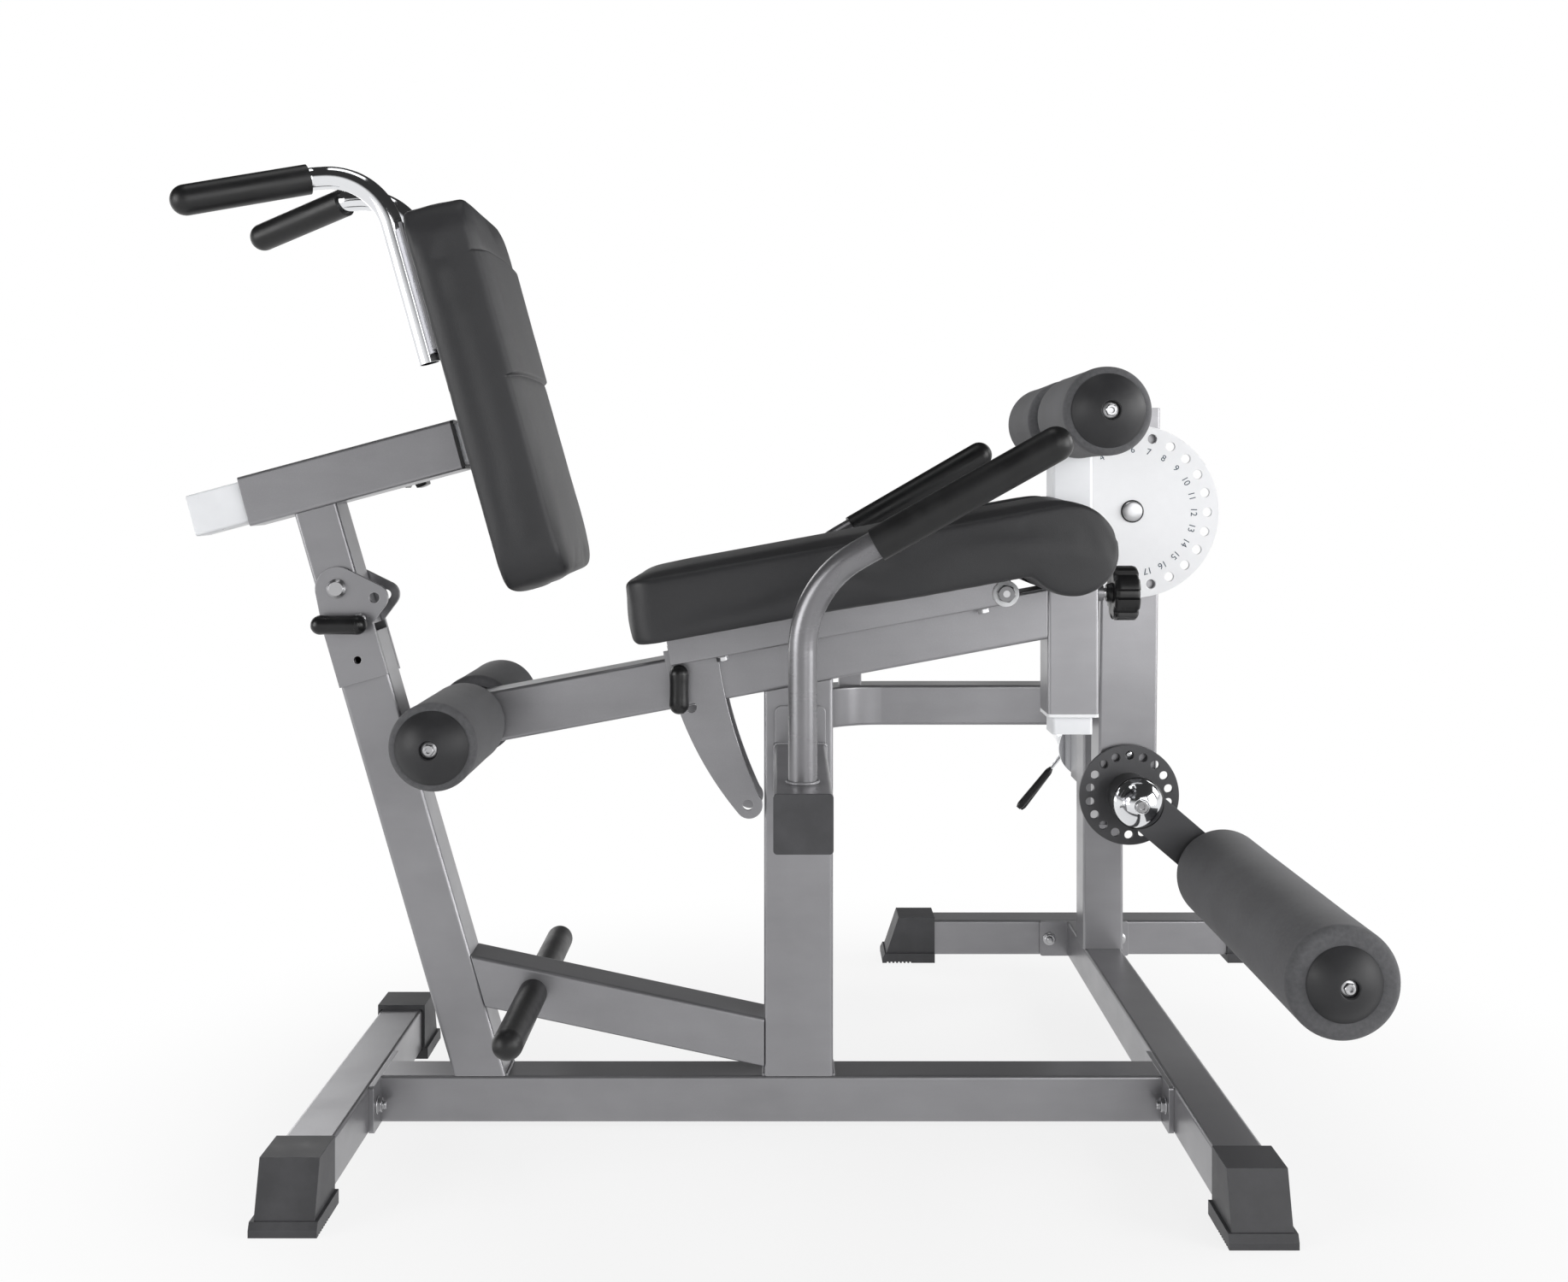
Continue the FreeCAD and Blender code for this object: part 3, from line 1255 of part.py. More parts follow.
def make_hinge():
    rotation = aimed(up, forward)
    pieces = []
    y = (s.post_deep + s.hinge_plate_thick) * HALF
    holes = [(0, 0, s.hinge_bolt_radius), (s.ear_forward, -s.ear_down, s.ear_hole_radius),
             (s.lock_forward, -s.lock_down, s.pin_radius + s.running_gap),
             (0, -s.spare_hole_down, s.spare_hole_radius)]
    for side in (-1, 1):
        body = plate("hinge_plate", hinge_outline(), s.hinge_plate_thick, holes)
        pieces.append(place(body, s.hinge_x, side * y, s.hinge_z, rotation))
    web_thick = s.hinge_plate_thick
    web = block("hinge_web", s.rear_post_gap - s.web_top,
                web_thick, s.post_deep, s.tube_wall * HALF)
    behind = s.upper_post_tube * HALF + s.slide_gap * 2 + web_thick * HALF
    place(web, *on_hinge(-behind, -s.rear_post_gap), rotation)
    pieces.append(web)
    node(group("hinge_plates", pieces), "hinge_plates")

    reach = s.post_deep * HALF + s.hinge_plate_thick
    bolt = rod("hinge_shank", reach * 2, s.hinge_bolt_radius)
    place(bolt, s.hinge_x, -reach, s.hinge_z, aimed((0, 1, 0), (1, 0, 0)))
    parts = [bolt]
    height = s.bolt_head_height
    for side in (-1, 1):
        head = turned_along_y("hinge_head", [
            (0, 0), (s.hinge_bolt_head, 0), (s.hinge_bolt_head, height * HALF),
            (s.hinge_bolt_head - height * HALF, height), (0, height)],
            s.hinge_x, side * reach, s.hinge_z, side)
        parts.append(head)
    node(group("hinge_bolt", parts), "hinge_bolt")


def sleeve_point(run, offset=0, y=0):
    # A place given from the middle of the backrest sleeve, forward along it and up off it.
    return along((s.back_sleeve_x, y, s.back_sleeve_z), (back_dir, run), (back_normal, offset))


def make_back_upper_post():
    height = s.back_sleeve_z - s.hinge_z
    post = tube("back_upper_post", s.upper_post_tail + height, s.upper_post_tube, s.upper_post_deep,
                s.tube_wall, s.tube_corner)
    place(post, *on_hinge(0, -s.upper_post_tail), aimed(up, forward))
    underside = sleeve_point(0, -s.beam_tube * HALF)
    lock = on_hinge(s.lock_forward, -s.lock_down)
    tools = [half_space("back_upper_post", underside, back_normal),
             cross_drill("back_upper_post", s.hinge_x, s.hinge_z, s.hinge_bolt_radius + s.running_gap,
                         -s.post_deep, s.post_deep),
             cross_drill("back_upper_post", lock[0], lock[2], s.pin_radius + s.pin_clearance,
                         -s.post_deep, 0)]
    node(cut_away("back_upper_post", post, tools), "back_upper_post")


def make_back_sleeve():
    length = s.back_sleeve_rear + s.back_sleeve_front
    sleeve = tube("back_sleeve", length, s.beam_tube, s.beam_tube, s.tube_wall, s.tube_corner)
    place(sleeve, *sleeve_point(-s.back_sleeve_rear), aimed(back_dir, (0, 1, 0)))
    knob_at = sleeve_point(s.back_knob_along)
    hole = drill("back_sleeve", knob_at, (0, 1, 0), s.beam_tube, s.knob_pin_radius + s.bolt_clearance)
    collar = knob_collar("back_collar", knob_at[0], s.beam_tube * HALF, knob_at[2], (0, 1, 0))
    node(group("back_sleeve", [cut_away("back_sleeve_tube", sleeve, [hole]), collar]), "back_sleeve")
    liner = liner_body("back_sleeve_liner", length, s.beam_tube, s.back_tube)
    backward = tuple(-value for value in back_dir)
    place(liner, *sleeve_point(s.back_sleeve_front + s.liner_lip), aimed(backward, (0, 1, 0)))
    hole = drill("back_sleeve_liner", knob_at, (0, 1, 0), s.beam_tube,
                 s.knob_pin_radius + s.bolt_clearance)
    node(cut_away("back_sleeve_liner", liner, [hole]), "back_sleeve_liner")


def make_back_slide():
    plate_back = on_back(0, 0, -s.back_plate_thick)
    run = s.back_tube_rear + s.back_sleeve_front + s.trim_reach * HALF
    slide = tube("back_slide_tube", run, s.back_tube, s.back_tube, s.tube_wall, s.tube_corner)
    place(slide, *sleeve_point(-s.back_tube_rear), aimed(back_dir, (0, 1, 0)))
    tools = [half_space("back_slide_tube", plate_back, pad_front)]
    step = s.back_tube * HALF
    for turn in range(-3, 2):
        tools.append(drill("back_slide_tube", sleeve_point(s.back_knob_along + turn * step), (0, 1, 0),
                           s.beam_tube, s.knob_pin_radius + s.pin_clearance))
    node(cut_away("back_slide_tube", slide, tools), "back_slide_tube")

    # The plate is narrow at the slide tube and wide where the handles are fastened.
    board = new_body("back_plate")
    sketch = new_sketch(board)
    half, wide = s.back_plate_narrow, s.back_plate_wide
    low, shoulder, top = s.back_plate_low, s.back_plate_step, s.back_plate_top
    draw_outline(sketch, [(-half, low), (half, low), (half, shoulder), (wide, shoulder), (wide, top),
                          (-wide, top), (-wide, shoulder), (-half, shoulder)])
    extrude(board, sketch, s.back_plate_thick)
    place(board, *plate_back, aimed(pad_front, (0, 1, 0)))
    node(board, "back_plate")


def make_back_knob():
    wall = (s.beam_tube - s.back_tube) * HALF
    pieces = knob("back_knob", s.slide_gap, wall)
    x, y, z = sleeve_point(s.back_knob_along)
    for piece in pieces:
        place(piece, x, s.beam_tube * HALF, z, aimed((0, 1, 0), (1, 0, 0)))
    node(group("back_knob", pieces), "back_knob")


def lock_pin(label, base, bend_dir, tip, ring_start, grip_start, grip_length, drop):
    # A pin along -Y from its tip, with a stop ring and a grip at right angles at its outer end.
    length = grip_start + s.grip_neck - tip
    pin = rod(label + "_shank", length, s.pin_radius)
    place(pin, base[0], -tip, base[1], aimed((0, -1, 0), (1, 0, 0)))
    ring = rod(label + "_ring", s.grip_neck * HALF, s.grip_neck, s.pin_radius)
    place(ring, base[0], -ring_start, base[1], aimed((0, -1, 0), (1, 0, 0)))
    radius = s.grip_radius
    corner = radius * math.sin(math.pi / 4)
    straight = grip_length - radius * 2
    grip = turned(label + "_grip", [(0, -radius), (radius, 0, corner, -corner), (radius, straight),
                                    (0, straight + radius, corner, straight + corner)])
    place(grip, base[0], -(grip_start + radius), base[1] - drop, aimed(bend_dir, (0, 1, 0)))
    seat = drill(label, (base[0], -tip, base[1]), (0, -1, 0), length, s.pin_radius)
    return group(label, [pin, ring, cut_away(label + "_grip_seat", grip, [seat])])


def make_fold_lock_pin():
    at = on_hinge(s.lock_forward, -s.lock_down)
    outer = s.post_deep * HALF + s.hinge_plate_thick
    tip = s.upper_post_deep * HALF + s.slide_gap
    ring = outer + s.lock_travel + s.slide_gap
    node(lock_pin("fold_lock_pin", (at[0], at[2]), (-1, 0, 0), tip, ring, ring + s.grip_neck * HALF,
                  s.fold_grip_length, s.fold_grip_drop), "fold_lock_pin")


def pad_section(half, low, high, crown, corner):
    # Half widths along Y and a crowned face towards +Z, drawn in at the sides.
    inset = min(float(corner), half * HALF, (high - low) * 0.45)
    bulge = inset * (1 - math.sin(math.pi / 4))
    draw_in = crown * HALF
    mid = (low + high) * HALF
    points = [
        ("line", (-half + inset, low), (half - inset, low)),
        ("arc", (half - inset, low), (half - bulge, low + bulge), (half, low + inset)),
        ("arc", (half, low + inset), (half + draw_in * HALF, mid), (half, high - inset)),
        ("arc", (half, high - inset), (half - bulge, high - bulge), (half - inset, high)),
        ("arc", (half - inset, high), (0, high + crown), (-half + inset, high)),
        ("arc", (-half + inset, high), (-half + bulge, high - bulge), (-half, high - inset)),
        ("arc", (-half, high - inset), (-half - draw_in * HALF, mid), (-half, low + inset)),
        ("arc", (-half, low + inset), (-half + bulge, low + bulge), (-half + inset, low)),
    ]
    return points


def section_wire(points, to_space):
    edges = []
    for kind, *places in points:
        spots = [Vector(*to_space(a, b)) for a, b in places]
        if kind == "line":
            edges.append(Part.LineSegment(*spots).toShape())
        else:
            edges.append(Part.Arc(*spots).toShape())
    return Part.Wire(edges)


def loft_pad(stations, to_space):
    # Stations are (along, half, low, high, crown, corner).
    wires = []
    for run, *rest in stations:
        wires.append(section_wire(pad_section(*rest), lambda a, b, run=run: to_space(a, run, b)))
    return Part.makeLoft(wires, True, True)


def make_back_pad():
    thick, half, corner = s.back_pad_thick, s.back_pad_half, s.back_pad_corner
    soft, crown = s.back_pad_round, s.back_pad_crown
    length = s.back_pad_length
    gap = s.slide_gap
    stations = []
    shares = (0.0, 0.08, 0.3, 0.62, 1.0)

    def end_station(share):
        # The outline turns in by a quarter circle, and the faces close with their own rounding.
        angle = math.asin(share)
        narrow = corner * (1 - math.cos(math.pi / 2 - angle))
        near_end = max(0, 1 - share * corner / soft)
        shrink = soft * (1 - math.sqrt(1 - near_end * near_end))
        return share * corner, half - corner + corner * math.sin(math.acos(1 - share)), shrink

    for share in shares:
        run, wide, shrink = end_station(share)
        stations.append((float(run), float(wide), gap + shrink, thick - shrink, crown * (1 + share) * HALF,
                         max(soft - shrink, soft * 0.3)))
    band = s.band_thick
    for run, extra in ((s.band_low - band, 0), (s.band_low, band), (s.band_high, band),
                       (s.band_high + band, 0)):
        stations.append((float(run), float(half), float(gap), float(thick + extra),
                         float(crown), float(soft)))
    for share in reversed(shares):
        run, wide, shrink = end_station(share)
        stations.append((float(length - run), float(wide), gap + shrink, thick - shrink,
                         crown * (1 + share) * HALF,
                         max(soft - shrink, soft * 0.3)))
    stations = sorted({station[0]: station for station in stations}.values())
    feature = doc.addObject("Part::Feature", "back_pad")
    feature.Shape = loft_pad(stations, lambda width, run, depth: on_back(width, run, depth))
    node(feature, "back_pad")


def make_back_handles():
    # Each tube runs up behind the pad, bends over rearward and then outward into its grip.
    tubes, grips = [], []
    plain = s.back_grip_length - s.back_grip_radius
    for label, side in (("right", -1), ("left", 1)):
        y = side * s.back_handle_y
        low = on_back(y, s.back_handle_low, -s.back_handle_off)
        corner = on_back(y, s.back_handle_corner, -s.back_handle_off)
        knee = (s.back_handle_knee_x, y, s.back_handle_knee_z)
        tip = (s.back_handle_tip_x, side * s.back_handle_tip_y, s.back_handle_tip_z)
        tubes.append(bent_tube(label + "_back_handle", (low, corner, knee, tip),
                               [s.back_handle_bend, s.back_handle_knee_bend],
                               s.back_handle_radius, s.back_handle_wall))
        depth = s.back_handle_off - s.back_handle_radius - s.back_plate_thick
        for height in (s.back_handle_low + s.back_tab, s.back_plate_top - s.back_tab * 2):
            tab = block(label + "_tab", depth, s.back_handle_radius, s.back_tab, s.tube_wall)
            place(tab, *on_back(y, height, -depth - s.back_plate_thick), aimed(pad_front, (0, 1, 0)))
            tubes.append(tab)
        out = tuple((Vector(*tip) - Vector(*knee)).normalize())
        grips.append(grip_sleeve(label + "_back_grip", along(tip, (out, -plain)), out, plain,
                                 s.back_handle_radius, s.back_grip_radius))
    node(group("back_handles", tubes), "back_handles")
    node(group("back_handle_grips", grips), "back_handle_grips")


def lock_place(step):
    # A hole of the quadrant at this many degrees below the locked one, as X and Z.
    angle = math.radians(s.lock_angle + step)
    return (s.seat_pivot_x - s.quadrant_radius * math.cos(angle),
            s.seat_pivot_z - s.quadrant_radius * math.sin(angle))


def make_seat_rails():
    pieces = []
    length = s.rail_end - s.rail_start
    y = s.rail_half_gap + s.rail_width * HALF
    for side in (-1, 1):
        rail = tube("seat_rail", length, s.rail_height, s.rail_width, s.tube_wall * HALF, s.tube_wall)
        place(rail, *on_seat(s.rail_start, -s.rail_height * HALF, side * y),
              aimed(seat_dir, seat_normal))
        hole = cross_drill("seat_rail", s.seat_pivot_x, s.seat_pivot_z,
                           s.pivot_bolt_radius + s.running_gap, side * y - s.rail_width,
                           side * y + s.rail_width)
        pieces.append(cut_away("seat_rail_cut", rail, [hole]))
    node(group("seat_rails", pieces), "seat_rails")


def make_quadrants():
    # Curved plates that hang from the rails beside the beam, on arcs about the seat's pivot.
    outer, inner = s.quadrant_radius + s.quadrant_outer, s.quadrant_radius - s.quadrant_inner
    top_x, _, top_z = on_seat(s.rail_start, -s.rail_height * HALF)
    start_angle = math.atan2(s.seat_pivot_z - top_z, s.seat_pivot_x - top_x)
    end_angle = math.radians(s.lock_angle + s.last_step)

    def polar(radius, angle):
        return (s.seat_pivot_x - radius * math.cos(angle), s.seat_pivot_z - radius * math.sin(angle))

    tip_inner = polar(s.quadrant_radius - s.quadrant_tip, end_angle)
    tip_outer = polar(outer, end_angle)
    tip_end = polar(s.quadrant_radius, end_angle + s.quadrant_tip / s.quadrant_radius)
    middle = polar(outer, (start_angle + end_angle) * HALF)
    inner_mid = polar(s.quadrant_radius - s.quadrant_inner_mid, (start_angle + end_angle) * HALF)
    begin = polar(outer, start_angle)
    outline = [(*begin, *middle), polar(inner, start_angle), (*tip_inner, *inner_mid),
               (*tip_outer, *tip_end)]
    holes = [(*lock_place(step), s.quadrant_hole_radius) for step in (0, s.first_step, s.last_step)]
    y = s.beam_tube * HALF + s.quadrant_side_gap + s.quadrant_thick * HALF
    pieces = []
    for side in (-1, 1):
        body = plate("quadrant_plate", outline, s.quadrant_thick, holes)
        pieces.append(place(body, 0, side * y, 0))
    node(group("quadrant_plates", pieces), "quadrant_plates")


def make_seat_fasteners():
    reach = s.rail_half_gap + s.rail_width
    shank = rod("pivot_shank", reach * 2 + s.washer_thick * 2, s.pivot_bolt_radius)
    place(shank, s.seat_pivot_x, -reach - s.washer_thick, s.seat_pivot_z, aimed((0, 1, 0), (1, 0, 0)))
    pieces = [shank]
    for side in (-1, 1):
        washer = rod("pivot_washer", s.washer_thick, s.washer_radius, s.pivot_bolt_radius)
        place(washer, s.seat_pivot_x, side * reach, s.seat_pivot_z, aimed((0, side, 0), (1, 0, 0)))
        head = rod("pivot_head", s.bolt_head_height, s.bolt_head_radius)
        place(head, s.seat_pivot_x, side * (reach + s.washer_thick), s.seat_pivot_z,
              aimed((0, side, 0), (1, 0, 0)))
        pieces += [washer, head]
    ear = rod("pivot_ear", s.beam_tube, s.washer_radius * 0.8, s.pivot_bolt_radius)
    place(ear, s.seat_pivot_x, -s.beam_tube * HALF, s.seat_pivot_z, aimed((0, 1, 0), (1, 0, 0)))
    beam_cut = half_space("pivot_ear", beam_point(s.seat_pivot_x, s.beam_tube * HALF),
                          tuple(-value for value in beam_normal))
    pieces.append(cut_away("pivot_ear_seat", ear, [beam_cut]))
    node(group("seat_pivot_bolt", pieces), "seat_pivot_bolt")

    bolts = []
    y = s.rail_half_gap + s.rail_width * HALF
    down = tuple(-value for value in seat_normal)
    for side in (-1, 1):
        for run in (s.seat_bolt_rear, s.seat_bolt_front):
            head = turned("seat_bolt", [
                (0, 0), (s.bolt_head_radius, 0), (s.bolt_head_radius * 0.8, s.bolt_head_height),
                (0, s.bolt_head_height)])
            place(head, *on_seat(run, -s.rail_height, side * y), aimed(down, (0, 1, 0)))
            bolts.append(head)
    node(group("seat_pad_bolts", bolts), "seat_pad_bolts")


def make_seat_lock_pin():
    outer = s.beam_tube * HALF + s.quadrant_side_gap + s.quadrant_thick
    tip = s.beam_tube * HALF + s.slide_gap
    ring = outer + s.lock_travel + s.slide_gap
    node(lock_pin("seat_lock_pin", lock_place(0), (0, 0, -1), tip, ring, ring + s.grip_neck * HALF,
                  s.seat_grip_length, s.seat_grip_drop), "seat_lock_pin")


def seat_half(run):
    # Half the width of the seat at one place along it.
    if run < s.seat_corner:
        inside = s.seat_corner - run
        return s.seat_half_rear - s.seat_corner + math.sqrt(s.seat_corner * s.seat_corner - inside * inside)
    if run < s.seat_flare_start:
        return s.seat_half_rear
    if run < s.seat_flare_end:
        share = (run - s.seat_flare_start) / (s.seat_flare_end - s.seat_flare_start)
        return s.seat_half_rear + (s.seat_half_front - s.seat_half_rear) * share
    return s.seat_half_front


def make_seat_pad():
    soft, gap, top = s.seat_round, s.slide_gap, s.seat_thick
    roll, centre, rise = s.seat_roll_radius, s.seat_roll_along, s.seat_roll_up
    stations = []
    for share in (0.0, 0.25, 1.0):
        run = soft * share
        shrink = soft * (1 - math.sqrt(1 - (1 - share) * (1 - share)))
        stations.append((run, seat_half(run) - shrink, gap + shrink, top - shrink,
                         s.seat_crown * (1 + share) * HALF,
                         max(soft - shrink, soft * 0.35)))
    under = math.sqrt(roll * roll - rise * rise)
    runs = [s.seat_corner * HALF, s.seat_corner, s.seat_flare_start, s.seat_flare_end,
            centre - under - soft * HALF]
    for run in runs:
        stations.append((run, seat_half(run), gap, top, s.seat_crown, soft))
    for share in ROLL_STATION_SHARES:
        reach = roll * share
        height = math.sqrt(roll * roll - reach * reach)
        upper = min(top, rise + height) if share < 0 else rise + height
        edge = min(soft, height * HALF)
        if share > HALF:
            pull = soft * (share - HALF)
        else:
            pull = 0
        stations.append((centre + reach, seat_half(centre) - pull, rise - height, upper,
                         s.seat_crown * (1 - max(0, share) * HALF), edge))
    stations = [tuple(float(value) for value in station) for station in stations]
    shape = loft_pad(stations, lambda width, run, depth: on_seat(run, depth, width))
    length = centre + roll - s.notch_start + s.overrun
    height = roll * 4
    notch = Part.makeBox(length, s.notch_half * 2, height)
    edges = [edge for edge in notch.Edges
             if abs(edge.Vertexes[0].X) < 1e-6 and abs(edge.Vertexes[1].X) < 1e-6
             and abs(edge.Vertexes[0].Z - edge.Vertexes[1].Z) > 1]
    notch = notch.makeFillet(float(s.notch_half * 0.8), edges)
    start = on_seat(s.notch_start, -roll * 2)
    notch.Placement = Placement(Vector(start[0], -s.notch_half, start[2]),
                                aimed(seat_normal, seat_dir))
    feature = doc.addObject("Part::Feature", "seat_pad")
    feature.Shape = shape.cut(notch)
    node(feature, "seat_pad")


def make_main_shaft():
    near = s.dial_near + s.dial_thick
    far = s.weight_arm_y + s.weight_arm_tube * HALF
    shaft = rod("shaft_core", far - near, s.main_shaft_radius)
    place(shaft, s.pivot_x, near, s.pivot_z, aimed((0, 1, 0), (1, 0, 0)))
    pieces = [shaft]
    height = s.hub_bolt_height
    for y, side in ((s.dial_near, -1), (far, 1)):
        head = turned_along_y("shaft_bolt", [
            (0, 0), (s.hub_bolt_radius, 0), (s.hub_bolt_radius, height * HALF),
            (s.hub_bolt_radius - height * HALF, height), (0, height)],
            s.pivot_x, y, s.pivot_z, side)
        pieces.append(head)
    spacer = rod("shaft_spacer", s.lever_gap - s.slide_gap, s.lever_hub_radius, s.main_shaft_radius)
    place(spacer, s.pivot_x, near, s.pivot_z, aimed((0, 1, 0), (1, 0, 0)))
    pieces.append(spacer)
    node(group("main_shaft", pieces), "main_shaft")


def make_dial():
    # The plate with a fan of numbered holes, hole 6 on the lever's axis.
    body = new_body("selector_dial")
    sketch = new_sketch(body)
    draw_circle(sketch, 0, 0, s.dial_radius)
    holes, engaged = 17, 6
    for number in range(1, holes + 1):
        angle = math.radians(s.lever_lean + s.dial_step * (number - engaged))
        draw_circle(sketch, s.dial_hole_circle * math.sin(angle), -s.dial_hole_circle * math.cos(angle),
                    s.dial_hole_radius)
    extrude(body, sketch, s.dial_thick)
    place(body, s.pivot_x, s.dial_near, s.pivot_z, aimed((0, 1, 0), (1, 0, 0)))
    node(body, "selector_dial")


def make_lever():
    lean = Rotation(Vector(0, 1, 0), float(s.lever_lean))
    y = lever_near + s.lever_deep * HALF
    low = on_lever(0, -s.lever_bottom, y)
    bar = tube("lever_bar", s.lever_top + s.lever_bottom, s.lever_across, s.lever_deep,
               s.tube_wall, s.tube_corner)
    place(bar, *low, lean)
    near, far = lever_near - s.overrun, lever_near + s.lever_deep + s.overrun
    shin = on_lever(0, -s.shin_drop, 0)
    dial_pin_at = on_lever(0, s.dial_hole_circle, 0)
    shin_pin_at = on_lever(0, s.disc_hole_circle - s.shin_drop, 0)
    tools = [cross_drill("lever", s.pivot_x, s.pivot_z, s.lever_hub_radius, near, far),
             cross_drill("lever", shin[0], shin[2], s.shin_shaft_radius, near, far),
             cross_drill("lever", dial_pin_at[0], dial_pin_at[2], s.pin_radius + s.running_gap, near, far),
             cross_drill("lever", shin_pin_at[0], shin_pin_at[2], s.pin_radius + s.running_gap, near, far)]
    drilled = cut_away("lever_tube", bar, tools)
    hub = rod("lever_hub", s.lever_deep + s.overrun, s.lever_hub_radius,
              s.main_shaft_radius + s.running_gap)
    place(hub, s.pivot_x, lever_near, s.pivot_z, aimed((0, 1, 0), (1, 0, 0)))
    caps = []
    for height, direction in ((s.lever_top, 1), (-s.lever_bottom, -1)):
        cap = new_body("lever_cap")
        sketch = new_sketch(cap)
        draw_rectangle(sketch, s.lever_across, s.lever_deep, s.tube_corner)
        extrude(cap, sketch, s.cap_thick, back=direction < 0)
        caps.append(place(cap, *on_lever(0, height, y), lean))
    node(group("lever_arm", [drilled, hub] + caps), "lever_arm")

    shaft_near = s.shin_arm_near + s.slide_gap
    shaft = rod("shin_pivot_core", lever_near + s.lever_deep - shaft_near, s.shin_shaft_radius)
    place(shaft, shin[0], shaft_near, shin[2], aimed((0, 1, 0), (1, 0, 0)))
    head = rod("shin_pivot_head", s.bolt_head_height, s.shin_shaft_radius + s.core_wall * 2)
    place(head, shin[0], lever_near + s.lever_deep, shin[2], aimed((0, 1, 0), (1, 0, 0)))
    spacer = rod("shin_spacer", s.lever_gap - s.slide_gap, s.lever_hub_radius, s.shin_shaft_radius)
    place(spacer, shin[0], s.dial_near + s.dial_thick + s.slide_gap, shin[2],
          aimed((0, 1, 0), (1, 0, 0)))
    node(group("shin_pivot_shaft", [shaft, head, spacer]), "shin_pivot_shaft")


def selector_pin(label, height):
    # A pull pin through the lever with a ball-ended handle behind it, its tip just behind the plate.
    x, _, z = on_lever(0, height, 0)
    tip = s.dial_near + s.dial_thick + s.slide_gap
    back = lever_near + s.lever_deep
    length = s.knob_standoff * 2
    body = new_body(label)
    radius, ball = s.pin_radius, s.grip_radius
    sketch = new_sketch(body, "XZ_Plane")
    total = back - tip + length
    nose = radius * HALF
    draw_outline(sketch, [(0, 0), (nose, 0), (radius, nose), (radius, total - ball * 2),
                          (ball, total - ball * 2), (ball, total - ball),
                          (0, total, ball * math.sin(math.pi / 4),
                           total - ball + ball * math.sin(math.pi / 4))])
    spin = body.newObject("PartDesign::Revolution", label + "_turn")
    spin.Profile = sketch
    spin.ReferenceAxis = (sketch, ["V_Axis"])
    spin.Angle = 360
    body.Tip = spin
    place(body, x, tip, z, aimed((0, 1, 0), (1, 0, 0)))
    node(body, label)


def shin_direction():
    drop = math.radians(s.shin_arm_drop)
    return (math.cos(drop), 0, -math.sin(drop))


def make_shin_unit():
    x, _, z = on_lever(0, -s.shin_drop, 0)
    disc = new_body("disc_plate")
    sketch = new_sketch(disc)
    draw_circle(sketch, 0, 0, s.disc_radius)
    draw_circle(sketch, 0, 0, s.shin_shaft_radius + s.running_gap)
    count = round(360 / s.disc_step)
    for turn in range(count):
        angle = math.radians(s.lever_lean + s.disc_step * turn)
        draw_circle(sketch, s.disc_hole_circle * math.sin(angle), -s.disc_hole_circle * math.cos(angle),
                    s.disc_hole_radius)
    extrude(disc, sketch, s.dial_thick)
    place(disc, x, s.dial_near, z, aimed((0, 1, 0), (1, 0, 0)))
    arm_far = s.shin_arm_near + s.shin_arm_thick
    hub = rod("disc_hub", s.dial_near - arm_far, s.disc_hub_radius, s.shin_shaft_radius + s.running_gap)
    place(hub, x, arm_far, z, aimed((0, 1, 0), (1, 0, 0)))
    node(group("selector_disc", [disc, hub]), "selector_disc")

    half = s.shin_arm_width * HALF
    bar = plate("shin_bar", [(0, -half), (s.shin_arm_length, -half),
                             (s.shin_arm_length, half, s.shin_arm_length + half, 0), (0, half),
                             (0, -half, -half, 0)][1:] + [],
                s.shin_arm_thick, [(0, 0, s.shin_shaft_radius + s.running_gap)])
    middle = s.shin_arm_near + s.shin_arm_thick * HALF
    rotation = aimed((-shin_direction()[2], 0, shin_direction()[0]), shin_direction())
    place(bar, x, middle, z, rotation)
    end = along((x, 0, z), (shin_direction(), s.shin_arm_length))
    near = -s.shin_roller_near
    axle = roller_shaft("shin_axle", end[0], end[2], near, arm_far)[:2]
    hole = cross_drill("shin_bar", end[0], end[2], s.roller_shaft_radius, 0, arm_far + s.overrun)
    node(group("shin_arm", [cut_away("shin_bar_cut", bar, [hole])] + axle), "shin_arm")

    rise, radius = s.dome_height, s.dome_radius
    sphere = (radius * radius + rise * rise) / (rise * 2)
    middle_r = radius * 0.7
    middle_h = math.sqrt(sphere * sphere - middle_r * middle_r) - (sphere - rise)
    dome = turned_along_y("dome_shell", [(0, 0), (radius, 0), (0, rise, middle_r, middle_h)],
                          x, s.shin_arm_near, z, -1)
    bolt = rod("dome_bolt", s.bolt_head_height * HALF, s.roller_bolt_radius)
    top = s.shin_arm_near - rise
    place(bolt, x, top, z, aimed((0, -1, 0), (1, 0, 0)))
    node(group("dome_cap", [dome, bolt]), "dome_cap")

    roller("shin_roller", end[0], end[2], s.shin_roller_far, s.shin_roller_far + s.shin_roller_near,
           s.shin_roller_radius, s.shin_cap_radius, -1, False)


